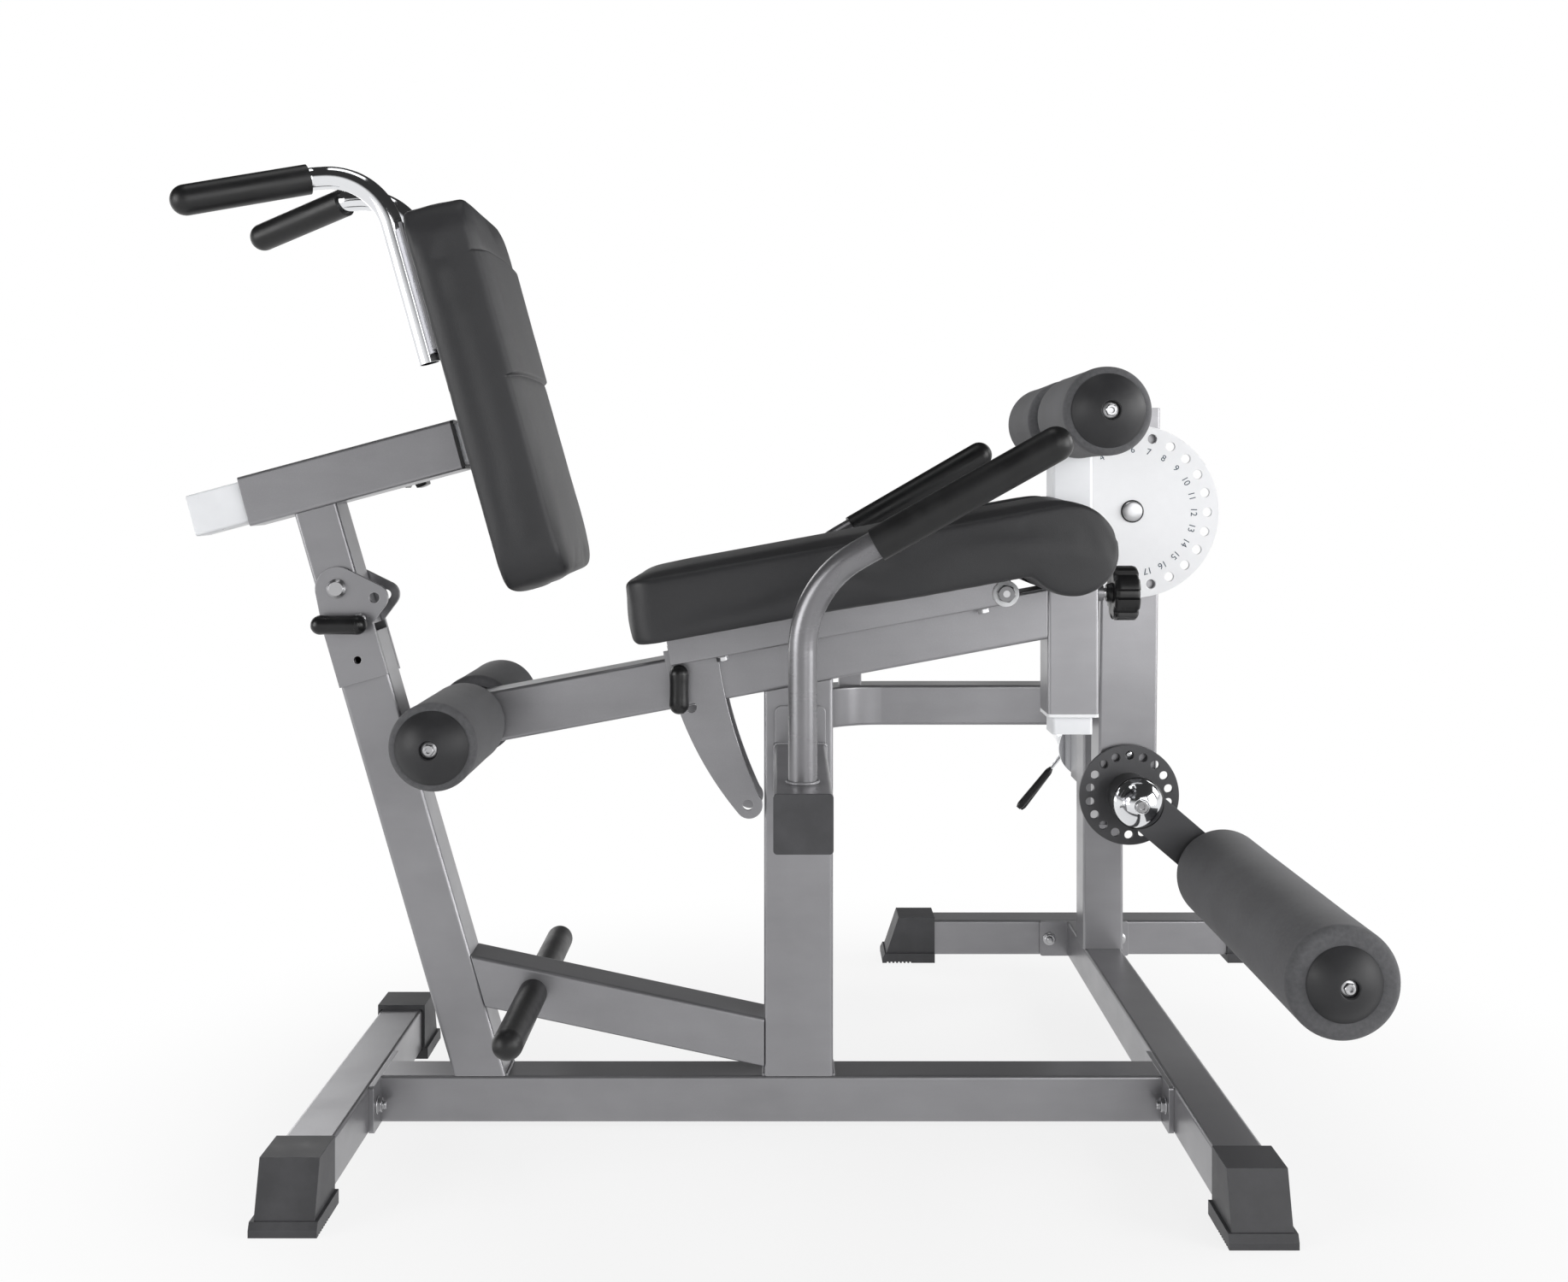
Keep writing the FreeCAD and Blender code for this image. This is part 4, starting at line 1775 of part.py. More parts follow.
def make_weight_arm():
    height = s.pivot_z + s.weight_arm_above - s.weight_arm_low
    bar = tube("weight_bar", height, s.weight_arm_tube, s.weight_arm_tube, s.tube_wall, s.tube_corner)
    place(bar, s.pivot_x, s.weight_arm_y, s.weight_arm_low)
    near, far = weight_near - s.overrun, s.weight_arm_y + s.weight_arm_tube
    tools = [cross_drill("weight_arm", s.pivot_x, s.pivot_z, s.main_shaft_radius, near, far)]
    drilled = cut_away("weight_bar_cut", bar, tools)
    caps = []
    for z, back in ((s.pivot_z + s.weight_arm_above, False), (s.weight_arm_low, True)):
        cap = new_body("weight_cap")
        sketch = new_sketch(cap)
        draw_rectangle(sketch, s.weight_arm_tube, s.weight_arm_tube, s.tube_corner)
        extrude(cap, sketch, s.cap_thick, back=back)
        caps.append(place(cap, s.pivot_x, s.weight_arm_y, z))
    node(group("weight_arm", [drilled] + caps), "weight_arm")

    start = s.weight_arm_y + s.weight_arm_tube * HALF
    flange = rod("horn_flange", s.horn_flange_thick, s.horn_flange_radius)
    place(flange, s.pivot_x, start, s.horn_z, aimed((0, 1, 0), (1, 0, 0)))
    horn = rod("horn_tube", s.horn_length - s.horn_flange_thick, s.horn_radius,
               s.horn_radius - s.horn_wall)
    place(horn, s.pivot_x, start + s.horn_flange_thick, s.horn_z, aimed((0, 1, 0), (1, 0, 0)))
    end = rod("horn_cap", s.cap_thick, s.horn_radius)
    place(end, s.pivot_x, start + s.horn_length, s.horn_z, aimed((0, 1, 0), (1, 0, 0)))
    node(group("weight_horn", [flange, horn, end]), "weight_horn")


def make_collar():
    # A clamp ring on the horn with two rods that end in flat grips.
    start = s.weight_arm_y + s.weight_arm_tube * HALF + s.collar_start
    inner = s.horn_radius + s.running_gap
    ring = rod("collar_ring", s.collar_length, inner + s.collar_wall, inner)
    place(ring, s.pivot_x, start, s.horn_z, aimed((0, 1, 0), (1, 0, 0)))
    pieces = [ring]
    for share, lean in ((HALF * HALF, s.collar_lean), (1 - HALF * HALF, s.collar_lean + s.collar_spread)):
        angle = math.radians(lean)
        out = (-math.cos(angle), 0, -math.sin(angle))
        y = start + s.collar_length * share
        base = along((s.pivot_x, y, s.horn_z), (out, inner + s.collar_wall * HALF))
        neck = s.collar_neck
        stem = rod("collar_rod", neck, s.collar_rod_radius)
        place(stem, *base, aimed(out, (0, 1, 0)))
        seat = cut_away("collar_rod_cut", stem, [
            drill("collar_rod", (s.pivot_x, start - s.overrun, s.horn_z), (0, 1, 0),
                  s.collar_length + s.overrun * 2, inner + s.collar_wall)])
        grip = block("collar_grip", s.collar_grip_length, s.collar_rod_radius * 3,
                     s.collar_rod_radius * 4, s.collar_rod_radius)
        place(grip, *along(base, (out, neck)), aimed(out, (0, 1, 0)))
        pieces += [seat, grip]
    node(group("spring_collar", pieces), "spring_collar")


def check_and_export():
    doc.recompute()
    for item in doc.Objects:
        if "Invalid" in item.State or "Error" in item.State:
            raise RuntimeError(f"{item.Label} failed: {item.State}")
    box = FreeCAD.BoundBox()
    for item in nodes:
        if item.Shape.isNull() or not item.Shape.isValid():
            raise RuntimeError(f"{item.Label} has no valid shape")
        box.add(item.Shape.BoundBox)
    # The origin is on the floor under the middle of the whole machine.
    shift = Vector(-(box.XMin + box.XMax) / 2, -(box.YMin + box.YMax) / 2, -box.ZMin)
    print("shift", round(shift.x, 4), round(shift.y, 4), round(shift.z, 4))
    for item in nodes:
        item.Placement.Base = item.Placement.Base + shift
    doc.recompute()
    for item in nodes:
        item.Shape.exportStep(os.path.join("parts", item.Label + ".step"))
    print("nodes", len(nodes), "solids", sum(len(item.Shape.Solids) for item in nodes))


make_floor()
make_joint_plates()
make_frame_bolts()
make_feet()
make_uprights()
make_storage_pegs()
make_seat_beam()
make_rear_rollers()
make_front_sleeve()
make_thigh_post()
make_thigh_knob()
make_handle_bracket()
make_side_handles()
make_curved_brace()
make_column()
make_end_caps()
make_hinge()
make_back_upper_post()
make_back_sleeve()
make_back_slide()
make_back_knob()
make_fold_lock_pin()
make_back_pad()
make_back_handles()
make_seat_rails()
make_quadrants()
make_seat_fasteners()
make_seat_lock_pin()
make_seat_pad()
make_main_shaft()
make_dial()
make_lever()
selector_pin("dial_pin", s.dial_hole_circle)
selector_pin("shin_pin", s.disc_hole_circle - s.shin_drop)
make_shin_unit()
make_weight_arm()
make_collar()
check_and_export()
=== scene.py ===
import math
import bpy
import bmesh
from mathutils import Matrix, Vector, noise


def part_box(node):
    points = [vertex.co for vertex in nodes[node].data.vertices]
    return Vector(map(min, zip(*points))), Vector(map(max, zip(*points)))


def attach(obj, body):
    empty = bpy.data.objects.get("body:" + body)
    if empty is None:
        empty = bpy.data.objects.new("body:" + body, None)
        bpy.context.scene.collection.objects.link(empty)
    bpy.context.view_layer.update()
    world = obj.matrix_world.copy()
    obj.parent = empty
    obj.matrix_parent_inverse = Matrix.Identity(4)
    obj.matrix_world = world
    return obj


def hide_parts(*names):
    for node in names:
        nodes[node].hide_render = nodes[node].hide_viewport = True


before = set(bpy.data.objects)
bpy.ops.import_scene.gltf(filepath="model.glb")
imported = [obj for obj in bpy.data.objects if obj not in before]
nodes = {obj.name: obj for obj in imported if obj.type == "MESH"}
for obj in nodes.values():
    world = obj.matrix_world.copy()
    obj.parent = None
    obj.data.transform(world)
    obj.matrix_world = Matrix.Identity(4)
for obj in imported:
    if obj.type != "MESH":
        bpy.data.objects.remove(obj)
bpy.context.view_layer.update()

scene = bpy.context.scene

# the machine's own zero: the middle of the base tube, with the column in front of it
columnAhead = 482  # millimetres
baseLow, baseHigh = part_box("base_tube")
columnLow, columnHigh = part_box("column")
zero = Vector(((columnLow.x + columnHigh.x) / 2 - columnAhead / 1000, (baseLow.y + baseHigh.y) / 2, 0))


def at(x, y, z):  # millimetres from the machine's zero, to metres in the frame
    return zero + Vector((x, y, z)) / 1000


def boxOf(node):  # a node's lowest and highest corners in the machine's millimetres
    low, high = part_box(node)
    return (low - zero) * 1000, (high - zero) * 1000


def middleOf(node):
    low, high = boxOf(node)
    return (low + high) / 2


camera = {"distance": 2007, "height": 770, "focalPixels": 1951, "across": 1834, "downShift": 184.7}

cameraData = bpy.data.cameras.new("camera")
cameraData.sensor_width = 36
cameraData.lens = 36 * camera["focalPixels"] / camera["across"]
cameraData.shift_y = -camera["downShift"] / camera["across"]
cameraData.clip_end = 30
cameraObject = bpy.data.objects.new("camera", cameraData)
cameraObject.location = at(0, -camera["distance"], camera["height"])
cameraObject.rotation_euler = (math.pi / 2, 0, 0)
scene.collection.objects.link(cameraObject)
scene.camera = cameraObject
print("camera placed")


class Wire:  # a socket that can be used in plain sums
    def __init__(self, tree, socket):
        self.tree, self.socket = tree, socket

    def sum(self, operation, first, second):
        return self.tree.node("ShaderNodeMath", {"operation": operation}, {0: first, 1: second})

    def __add__(self, other): return self.sum("ADD", self, other)
    def __radd__(self, other): return self.sum("ADD", other, self)
    def __mul__(self, other): return self.sum("MULTIPLY", self, other)
    def __rmul__(self, other): return self.sum("MULTIPLY", other, self)
    def either(self, other): return self.sum("MAXIMUM", self, other)


class NodeTree:  # the nodes of a material or of the world
    def __init__(self, tree):
        self.nodes, self.links = tree.nodes, tree.links

    def node(self, kind, settings=None, values=None, output=0):
        made = self.nodes.new(kind)
        for name, value in (settings or {}).items():
            setattr(made, name, value)
        for name, value in (values or {}).items():
            self.give(made.inputs[name], value)
        return Wire(self, made.outputs[output])

    def give(self, socket, value):
        if isinstance(value, Wire):
            self.links.new(value.socket, socket)
        elif isinstance(value, tuple) and len(value) == 3 and socket.type == "RGBA":
            socket.default_value = (*value, 1)
        else:
            socket.default_value = value

    def range(self, value, low, high, toLow, toHigh):
        return self.node("ShaderNodeMapRange", {}, {0: value, 1: low, 2: high, 3: toLow, 4: toHigh})

    def mix(self, factor, first, second):
        return self.node("ShaderNodeMix", {"data_type": "RGBA"}, {0: factor, 6: first, 7: second}, output=2)

    def apart(self, first, second):
        return self.node("ShaderNodeVectorMath", {"operation": "DISTANCE"}, {0: first, 1: second}, output="Value")

    def sees(self):  # 1 for rays from the camera, and for those in a mirror or through glass
        path = [self.node("ShaderNodeLightPath", output=name)
                for name in ("Is Camera Ray", "Is Glossy Ray", "Is Transmission Ray")]
        return path[0].either(path[1]).either(path[2])


class Finish(NodeTree):
    labels = {"baseColor": "Base Color", "roughness": "Roughness", "metallic": "Metallic", "normal": "Normal",
              "specular": "Specular IOR Level", "sheen": "Sheen Weight", "sheenRoughness": "Sheen Roughness"}

    def __init__(self, name):
        self.material = bpy.data.materials.new(name)
        self.material.use_nodes = True
        super().__init__(self.material.node_tree)
        self.surface = self.nodes["Principled BSDF"]

    def set(self, **values):
        for name, value in values.items():
            self.give(self.surface.inputs[self.labels[name]], value)
        return self.material

    def place(self):  # where a point is on the object, in metres
        return self.node("ShaderNodeTexCoord", output="Object")

    def stretched(self, scale):
        return self.node("ShaderNodeMapping", {}, {"Vector": self.place(), "Scale": scale})

    def noise(self, scale, detail=4.0, roughness=0.55, vector=None):
        values = {"Vector": vector or self.place(), "Scale": scale, "Detail": detail, "Roughness": roughness}
        return self.node("ShaderNodeTexNoise", {}, values)

    def cells(self, scale, feature="F1"):
        return self.node("ShaderNodeTexVoronoi", {"feature": feature}, {"Vector": self.place(), "Scale": scale})

    def edge(self, radius):  # rounds every hard edge of a tube or plate
        return self.node("ShaderNodeBevel", {"samples": 4}, {"Radius": radius})

    def wear(self, radius, low=0.02, high=0.25):  # 1 on the edges, where the bevelled normal turns away; it masks a painted highlight along the edges
        true = self.node("ShaderNodeNewGeometry", output="Normal")
        return self.range(self.apart(true, self.edge(radius)), low, high, 0, 1)

    def bump(self, height, distance, strength=1.0, normal=None):
        values = {"Height": height, "Distance": distance, "Strength": strength}
        if normal is not None:
            values["Normal"] = normal
        return self.node("ShaderNodeBump", {}, values)


def brighter(colour, times, plus=0.0):
    return tuple(min(1, c * times + plus) for c in colour)


def powderCoat(name, colour, darker, metallic, gloss):  # metallic paint, faintly mottled, with a painted highlight that makes the edges paler
    f = Finish(name)
    blotch = f.noise(9, 3)
    streak = f.noise(1, 2, vector=f.stretched((14, 14, 60)))
    fleck = f.noise(2600, 1)
    tone = f.range(blotch * 0.75 + streak * 0.25, 0.3, 0.7, 0, 1)
    base = f.mix(tone, darker, colour)
    base = f.mix(f.range(fleck, 0.58, 0.74, 0, 0.28), base, brighter(colour, 1.7))
    # painted highlight: every rounded edge made paler, standing in for light caught by the edges
    base = f.mix(f.wear(0.0016) * 0.35, base, brighter(colour, 1.6))
    peel = f.noise(900, 2)
    return f.set(baseColor=base, metallic=metallic, specular=0.5,
                 roughness=f.range(tone + fleck * 0.25, 0, 1.2, gloss + 0.08, gloss),
                 normal=f.bump(peel, 0.00004, 0.35, f.edge(0.0012)))


def foamSkin(name, colour, lighter):
    f = Finish(name)
    pores = f.cells(1500)
    mottle = f.noise(220, 4)
    wear = f.noise(14, 3)
    base = f.mix(f.range(mottle + wear * 0.5, 0.55, 1.0, 0, 1), colour, lighter)
    height = f.range(pores, 0, 0.5, 0, 1) * 0.6 + mottle * 0.4
    return f.set(baseColor=base, roughness=f.range(mottle, 0.3, 0.7, 0.72, 0.88), specular=0.35,
                 sheen=0.12, sheenRoughness=0.6, normal=f.bump(height, 0.0003, 0.5))


def vinyl(name, colour, lighter):  # fine grained leathercloth
    f = Finish(name)
    grain = f.cells(1300, "SMOOTH_F1")
    crease = f.noise(38, 5, 0.6)
    soft = f.noise(7, 2)
    base = f.mix(f.range(soft, 0.3, 0.7, 0, 1), colour, lighter)
    base = f.mix(f.range(grain, 0.45, 0.8, 0, 0.25), base, brighter(lighter, 1.5))
    height = f.range(grain, 0, 0.6, 0, 1) * 0.5 + f.range(crease, 0.45, 0.7, 0, 1)
    return f.set(baseColor=base, roughness=f.range(grain + soft * 0.4, 0.2, 0.9, 0.4, 0.54), specular=0.38,
                 normal=f.bump(height, 0.0003, 0.3))


def moulded(name, colour, roughness=0.38, grain=700, depth=0.00005, scuffAndEdgeHighlight=1.35):
    f = Finish(name)
    fine = f.noise(grain, 3)
    scuff = f.noise(30, 4)
    base = f.mix(f.range(scuff, 0.4, 0.75, 0, 1), colour, brighter(colour, scuffAndEdgeHighlight, 0.001))
    # painted highlight: edges made paler, standing in for light caught by the rounded edges; the same setting
    # also sets the random scuffs
    base = f.mix(f.wear(0.001) * 0.4, base, brighter(colour, 1 + (scuffAndEdgeHighlight - 1) * 2, 0.005))
    return f.set(baseColor=base, specular=0.35, normal=f.bump(fine, depth, 0.5, f.edge(0.0008)),
                 roughness=f.range(scuff, 0.3, 0.7, roughness - 0.05, roughness + 0.09))


def plated(name, colour, roughness):
    f = Finish(name)
    haze = f.noise(26, 4)
    line = f.noise(1, 3, vector=f.stretched((90, 90, 900)))
    return f.set(baseColor=f.mix(haze, brighter(colour, 0.9), colour), metallic=1.0,
                 roughness=f.range(haze * 0.7 + line * 0.3, 0.3, 0.7, roughness, roughness + 0.08),
                 normal=f.bump(line, 0.00001, 0.2, f.edge(0.0006)))


finish = {
    "frameGrey": powderCoat("frameGrey", (0.285, 0.283, 0.295), (0.24, 0.238, 0.248), 0.72, 0.27),
    "handleGrey": powderCoat("handleGrey", (0.205, 0.203, 0.212), (0.165, 0.163, 0.171), 0.6, 0.24),
    "darkGrey": powderCoat("darkGrey", (0.075, 0.075, 0.079), (0.06, 0.06, 0.064), 0.3, 0.36),
    "foam": foamSkin("foam", (0.068, 0.068, 0.072), (0.104, 0.104, 0.11)),
    "vinyl": vinyl("vinyl", (0.019, 0.019, 0.0205), (0.027, 0.027, 0.029)),
    "feet": moulded("feet", (0.048, 0.048, 0.051), 0.5, 500, 0.0001),
    "capPlastic": moulded("capPlastic", (0.02, 0.02, 0.0215), 0.5, 420, 0.00006),
    "blackPlastic": moulded("blackPlastic", (0.009, 0.009, 0.0095), 0.3),
    "gripRubber": moulded("gripRubber", (0.0085, 0.0085, 0.009), 0.36, 900),
    "pegRubber": moulded("pegRubber", (0.012, 0.012, 0.0125), 0.42, 900),
    "chrome": plated("chrome", (0.82, 0.83, 0.85), 0.06),
    "zinc": plated("zinc", (0.46, 0.46, 0.47), 0.26),
    "darkZinc": plated("darkZinc", (0.2, 0.2, 0.205), 0.3),
    "paleSteel": moulded("paleSteel", (0.78, 0.79, 0.81), 0.3, 300, 0.00001, 1.04),
    "nylon": moulded("nylon", (0.84, 0.845, 0.86), 0.45, 700, 0.00004, 1.05),
    "dialWhite": moulded("dialWhite", (0.88, 0.885, 0.9), 0.35, 500, 0.00001, 1.03),
    "ink": moulded("ink", (0.05, 0.07, 0.1), 0.5),
    "weld": powderCoat("weld", (0.25, 0.25, 0.26), (0.19, 0.19, 0.197), 0.4, 0.32),
}
print("finishes made:", len(finish))

dressedNodes = {
    "frameGrey": ["base_tube", "rear_crossbar", "front_crossbar", "outrigger_tube", "joint_plates", "mid_post",
                  "rear_post", "diagonal_brace", "seat_beam", "front_sleeve", "handle_bracket", "curved_brace",
                  "column", "bearing_housing", "hinge_plates", "back_upper_post", "back_sleeve",
                  "back_plate", "seat_rails", "quadrant_plates", "lever_arm", "weight_arm"],
    "handleGrey": ["side_handles"],
    "darkGrey": ["selector_disc", "shin_arm"],
    "feet": ["rubber_feet", "tube_end_caps"],
    "pegRubber": ["storage_pegs"],
    "blackPlastic": ["back_sleeve_liner", "back_knob", "thigh_knob",
                     "fold_lock_pin", "seat_lock_pin", "spring_collar"],
    "nylon": ["front_sleeve_liner"],
    "gripRubber": ["side_handle_grips", "back_handle_grips"],
    "chrome": ["back_handles", "weight_horn", "dome_cap", "dial_pin", "shin_pin"],
    "paleSteel": ["back_slide_tube", "thigh_post"],
    "zinc": ["frame_bolts", "rear_roller_shaft", "thigh_roller_shaft", "hinge_bolt", "seat_pivot_bolt",
             "seat_pad_bolts", "main_shaft", "shin_pivot_shaft"],
    "dialWhite": ["selector_dial"],
    "foam": ["right_thigh_roller", "left_thigh_roller", "right_rear_roller", "left_rear_roller", "shin_roller"],
    "vinyl": ["back_pad", "seat_pad"],
}
for finishName, names in dressedNodes.items():
    for name in names:
        mesh = nodes[name].data
        mesh.materials.clear()
        mesh.materials.append(finish[finishName])
        mesh.polygons.foreach_set("use_smooth", [True] * len(mesh.polygons))
        mesh.set_sharp_from_angle(angle=math.radians(32))
print("frame dressed")


def addMesh(name, points, faces, material, smooth=True, sharpAngle=40):
    mesh = bpy.data.meshes.new(name)
    mesh.from_pydata([tuple(p) for p in points], [], faces)
    mesh.materials.append(material)
    mesh.polygons.foreach_set("use_smooth", [smooth] * len(faces))
    mesh.update()
    if smooth:
        mesh.set_sharp_from_angle(angle=math.radians(sharpAngle))
    made = bpy.data.objects.new(name, mesh)
    scene.collection.objects.link(made)
    return made


def fitted(piece, body, slot, *replaced):  # rides a body, and stands for any nodes named; the slot is not used
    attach(piece, body)
    if replaced:
        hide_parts(*replaced)
    return piece


def acrossOf(axis):
    side = Vector((1, 0, 0)) if abs(axis.x) < 0.9 else Vector((0, 0, 1))
    first = (side - axis * side.dot(axis)).normalized()
    return first, axis.cross(first)


def tidied(made):  # welds doubled points and turns every face outward
    mesh = bmesh.new()
    mesh.from_mesh(made.data)
    bmesh.ops.remove_doubles(mesh, verts=mesh.verts, dist=1e-7)
    bmesh.ops.recalc_face_normals(mesh, faces=mesh.faces)
    mesh.to_mesh(made.data)
    mesh.free()
    return made


def turned(name, profile, start, axis, material, segments=72, ripple=None, sharpAngle=40):
    # a profile of (radius, height) in mm, turned about the axis from its start
    axis = Vector(axis).normalized()
    first, second = acrossOf(axis)
    points, faces = [], []
    for radius, height in profile:
        for turn in range(segments):
            angle = math.tau * turn / segments
            reach = radius + (ripple(angle, height, radius) if ripple else 0)
            out = first * math.cos(angle) + second * math.sin(angle)
            points.append(start + (axis * height + out * reach) / 1000)
    for row in range(len(profile) - 1):
        for turn in range(segments):
            here, there = row * segments + turn, row * segments + (turn + 1) % segments
            faces.append((here, there, there + segments, here + segments))
    if profile[0][0] > 0:
        faces.append(tuple(reversed(range(segments))))
    if profile[-1][0] > 0:
        last = (len(profile) - 1) * segments
        faces.append(tuple(range(last, last + segments)))
    return tidied(addMesh(name, points, faces, material, sharpAngle=sharpAngle))


def quarter(centreR, centreH, radius, fromAngle, toAngle, count=8):  # degrees, a round stretch of a profile
    steps = [math.radians(fromAngle + (toAngle - fromAngle) * step / count) for step in range(count + 1)]
    return [(centreR + radius * math.cos(a), centreH + radius * math.sin(a)) for a in steps]


def hexHead(name, spot, axis, acrossFlats, height, material, turnBy=0.0, hollow=0.0):
    # a hexagonal head or nut with its chamfer's curved edges, and a socket where hollow is its radius
    axis = Vector(axis).normalized()
    first, second = acrossOf(axis)
    flat, segments = acrossFlats / 2, 48
    levels = [(lambda side: side, lambda side: 0),
              (lambda side: side, lambda side: height - (side - flat) * 0.55 - 0.3),
              (lambda side: flat * 0.96, lambda side: height)]
    if hollow:
        levels += [(lambda side: hollow, lambda side: height),
                   (lambda side: hollow * 0.94, lambda side: height * 0.3)]
    points, faces = [], []
    for reachOf, levelOf in levels:
        for turn in range(segments):
            angle = math.tau * turn / segments
            folded = (angle - turnBy + math.pi / 6) % (math.pi / 3) - math.pi / 6
            side = flat / math.cos(folded)
            out = first * math.cos(angle) + second * math.sin(angle)
            points.append(spot + (axis * levelOf(side) + out * reachOf(side)) / 1000)
    for row in range(len(levels) - 1):
        for turn in range(segments):
            here, there = row * segments + turn, row * segments + (turn + 1) % segments
            faces.append((here, there, there + segments, here + segments))
    faces.append(tuple(reversed(range(segments))))
    faces.append(tuple(range((len(levels) - 1) * segments, len(levels) * segments)))
    return tidied(addMesh(name, points, faces, material, sharpAngle=28))


def washer(name, spot, axis, outer, inner, thick, material):
    rim = min(0.5, thick / 3)
    profile = [(inner, 0), (outer - rim, 0), (outer, rim), (outer, thick - rim), (outer - rim, thick),
               (inner, thick), (inner, 0)]
    return turned(name, profile, spot, axis, material, 56, sharpAngle=50)


def threadEnd(name, spot, axis, radius, length, material):  # the end of a bolt that shows past its nut
    pitch, steps = 1.5, 8
    rows = int(length / pitch * steps)
    profile = [(radius - 0.45 + 0.45 * math.cos(math.tau * row / steps), length * row / rows)
               for row in range(rows)]
    profile += [(radius - 1.1, length), (0, length)]
    return turned(name, profile, spot, axis, material, 40, sharpAngle=80)


def joinPieces(name, pieces):  # several shapes that are one piece of the real object
    joined = bmesh.new()
    materials = []
    for piece in pieces:
        shift = len(materials)
        for material in piece.data.materials:
            materials.append(material)
        before = len(joined.faces)
        joined.from_mesh(piece.data)
        joined.faces.ensure_lookup_table()
        for face in joined.faces[before:]:
            face.material_index += shift
    mesh = bpy.data.meshes.new(name)
    joined.to_mesh(mesh)
    joined.free()
    for material in materials:
        mesh.materials.append(material)
    for piece in pieces:
        bpy.data.objects.remove(piece)
    made = bpy.data.objects.new(name, mesh)
    scene.collection.objects.link(made)
    return made


def pathTube(name, path, radius, material, segments=14, closed=False, swell=None, squash=(1, 1)):
    # a tube through points in metres, its radius in mm, swelling along the way where asked
    points, faces = [], []
    count = len(path)
    normal = None
    for i, spot in enumerate(path):
        ahead = path[(i + 1) % count] if closed or i < count - 1 else spot
        behind = path[i - 1] if closed or i > 0 else spot
        along = (ahead - behind).normalized()
        if normal is None:
            normal = acrossOf(along)[0]
        normal = (normal - along * normal.dot(along)).normalized()
        side = along.cross(normal)
        reach = radius * (swell(i / count) if swell else 1) / 1000
        for turn in range(segments):
            angle = math.tau * turn / segments
            out = normal * math.cos(angle) * squash[0] + side * math.sin(angle) * squash[1]
            points.append(spot + out * reach)
    rows = count if closed else count - 1
    for row in range(rows):
        for turn in range(segments):
            this, above, aside = row * segments, (row + 1) % count * segments, (turn + 1) % segments
            faces.append((this + turn, this + aside, above + aside, above + turn))
    if not closed:
        faces.append(tuple(reversed(range(segments))))
        faces.append(tuple(range((count - 1) * segments, count * segments)))
    return tidied(addMesh(name, points, faces, material, sharpAngle=60))


rollers = {
    "small": {"radius": 48.4, "length": 190, "start": 33, "cap": 40, "dome": 20, "edge": 9},
    "shin": {"radius": 61.9, "length": 496, "start": 240, "cap": 41, "dome": 20, "edge": 9},
    "boltAcross": 11, "boltHeight": 4.4, "ringRadius": 9.5, "recess": 10.4,
    "places": {"right_thigh_roller": ("small", -1, "right_thigh"),
               "left_thigh_roller": ("small", 1, "left_thigh"),
               "right_rear_roller": ("small", -1, "right_rear"),
               "left_rear_roller": ("small", 1, "left_rear"),
               "shin_roller": ("shin", -1, "shin_pad")},
}


def camel(node):
    words = node.split("_")
    return words[0] + "".join(word.capitalize() for word in words[1:])


def foamRoller(node, kind, side, body):
    size, middle, name = rollers[kind], middleOf(node), camel(node)
    begin = side * size["start"] if kind == "small" else size["start"]
    start, axis = at(middle.x, begin, middle.z), Vector((0, side, 0))
    radius, length, edge, cap, dome = (size[key] for key in ("radius", "length", "edge", "cap", "dome"))
    inner = cap - 5
    profile = [(16.6, 0.4), (inner, 0.4), (inner + 3, 0)]
    profile += quarter(radius - edge, edge, edge, -90, 0, 10)
    profile += [(radius - 0.35, length * share) for share in (0.2, 0.4, 0.6, 0.8)]
    profile += quarter(radius - edge, length - edge, edge, 0, 90, 10)
    profile += [(inner + 3, length), (inner, length - 0.4), (16.6, length - 0.4)]

    def uneven(angle, height, reach):  # foam is never quite round
        if reach < inner + 1:
            return 0
        spot = Vector((math.cos(angle) * 1.4, math.sin(angle) * 1.4, height / 70 + middle.x))
        return noise.noise(spot) * 0.35 - 0.3

    foam = fitted(turned(name, profile, start, axis, finish["foam"], 96, uneven), body, "foam", node)
    sphere = (cap * cap + dome * dome) / (2 * dome)
    shell = [(13, length - 3), (cap - 2, length - 3), (cap - 0.5, length - 2), (cap, length + 0.6),
             (cap - 0.6, length + 1.6)]
    recess = rollers["recess"]
    shell += [(r, length + math.sqrt(sphere * sphere - r * r) - (sphere - dome) + 0.4)
              for r in [cap - 2 - (cap - 2.6 - recess) * step / 16 for step in range(17)]]
    lip = shell[-1][1]
    shell += [(recess, lip - 0.3), (recess - 0.4, lip - 1.2), (recess - 0.5, lip - 6.5), (4, lip - 6.7)]
    fitted(turned(name + "Cap", shell, start, axis, finish["capPlastic"], 72), body, "black_plastic")
    ring = washer(name + "Ring", start + axis * (lip - 6.5) / 1000, axis, rollers["ringRadius"], 4, 1.4,
                  finish["zinc"])
    bolt = hexHead(name + "Bolt", start + axis * (lip - 5.2) / 1000, axis, rollers["boltAcross"],
                   rollers["boltHeight"], finish["zinc"], 0.4, hollow=3.2)
    fitted(joinPieces(name + "Bolt", [ring, bolt]), body, "zinc")
    hub = [(13, 0.2), (inner + 1, 0.2), (inner + 1, -1.4), (inner, -2.3), (13, -2.3)]
    fitted(turned(name + "Hub", hub, start, axis, finish["capPlastic"], 64), body, "black_plastic")


for node, (kind, side, body) in rollers["places"].items():
    foamRoller(node, kind, side, body)
print("rollers made:", len(rollers["places"]))


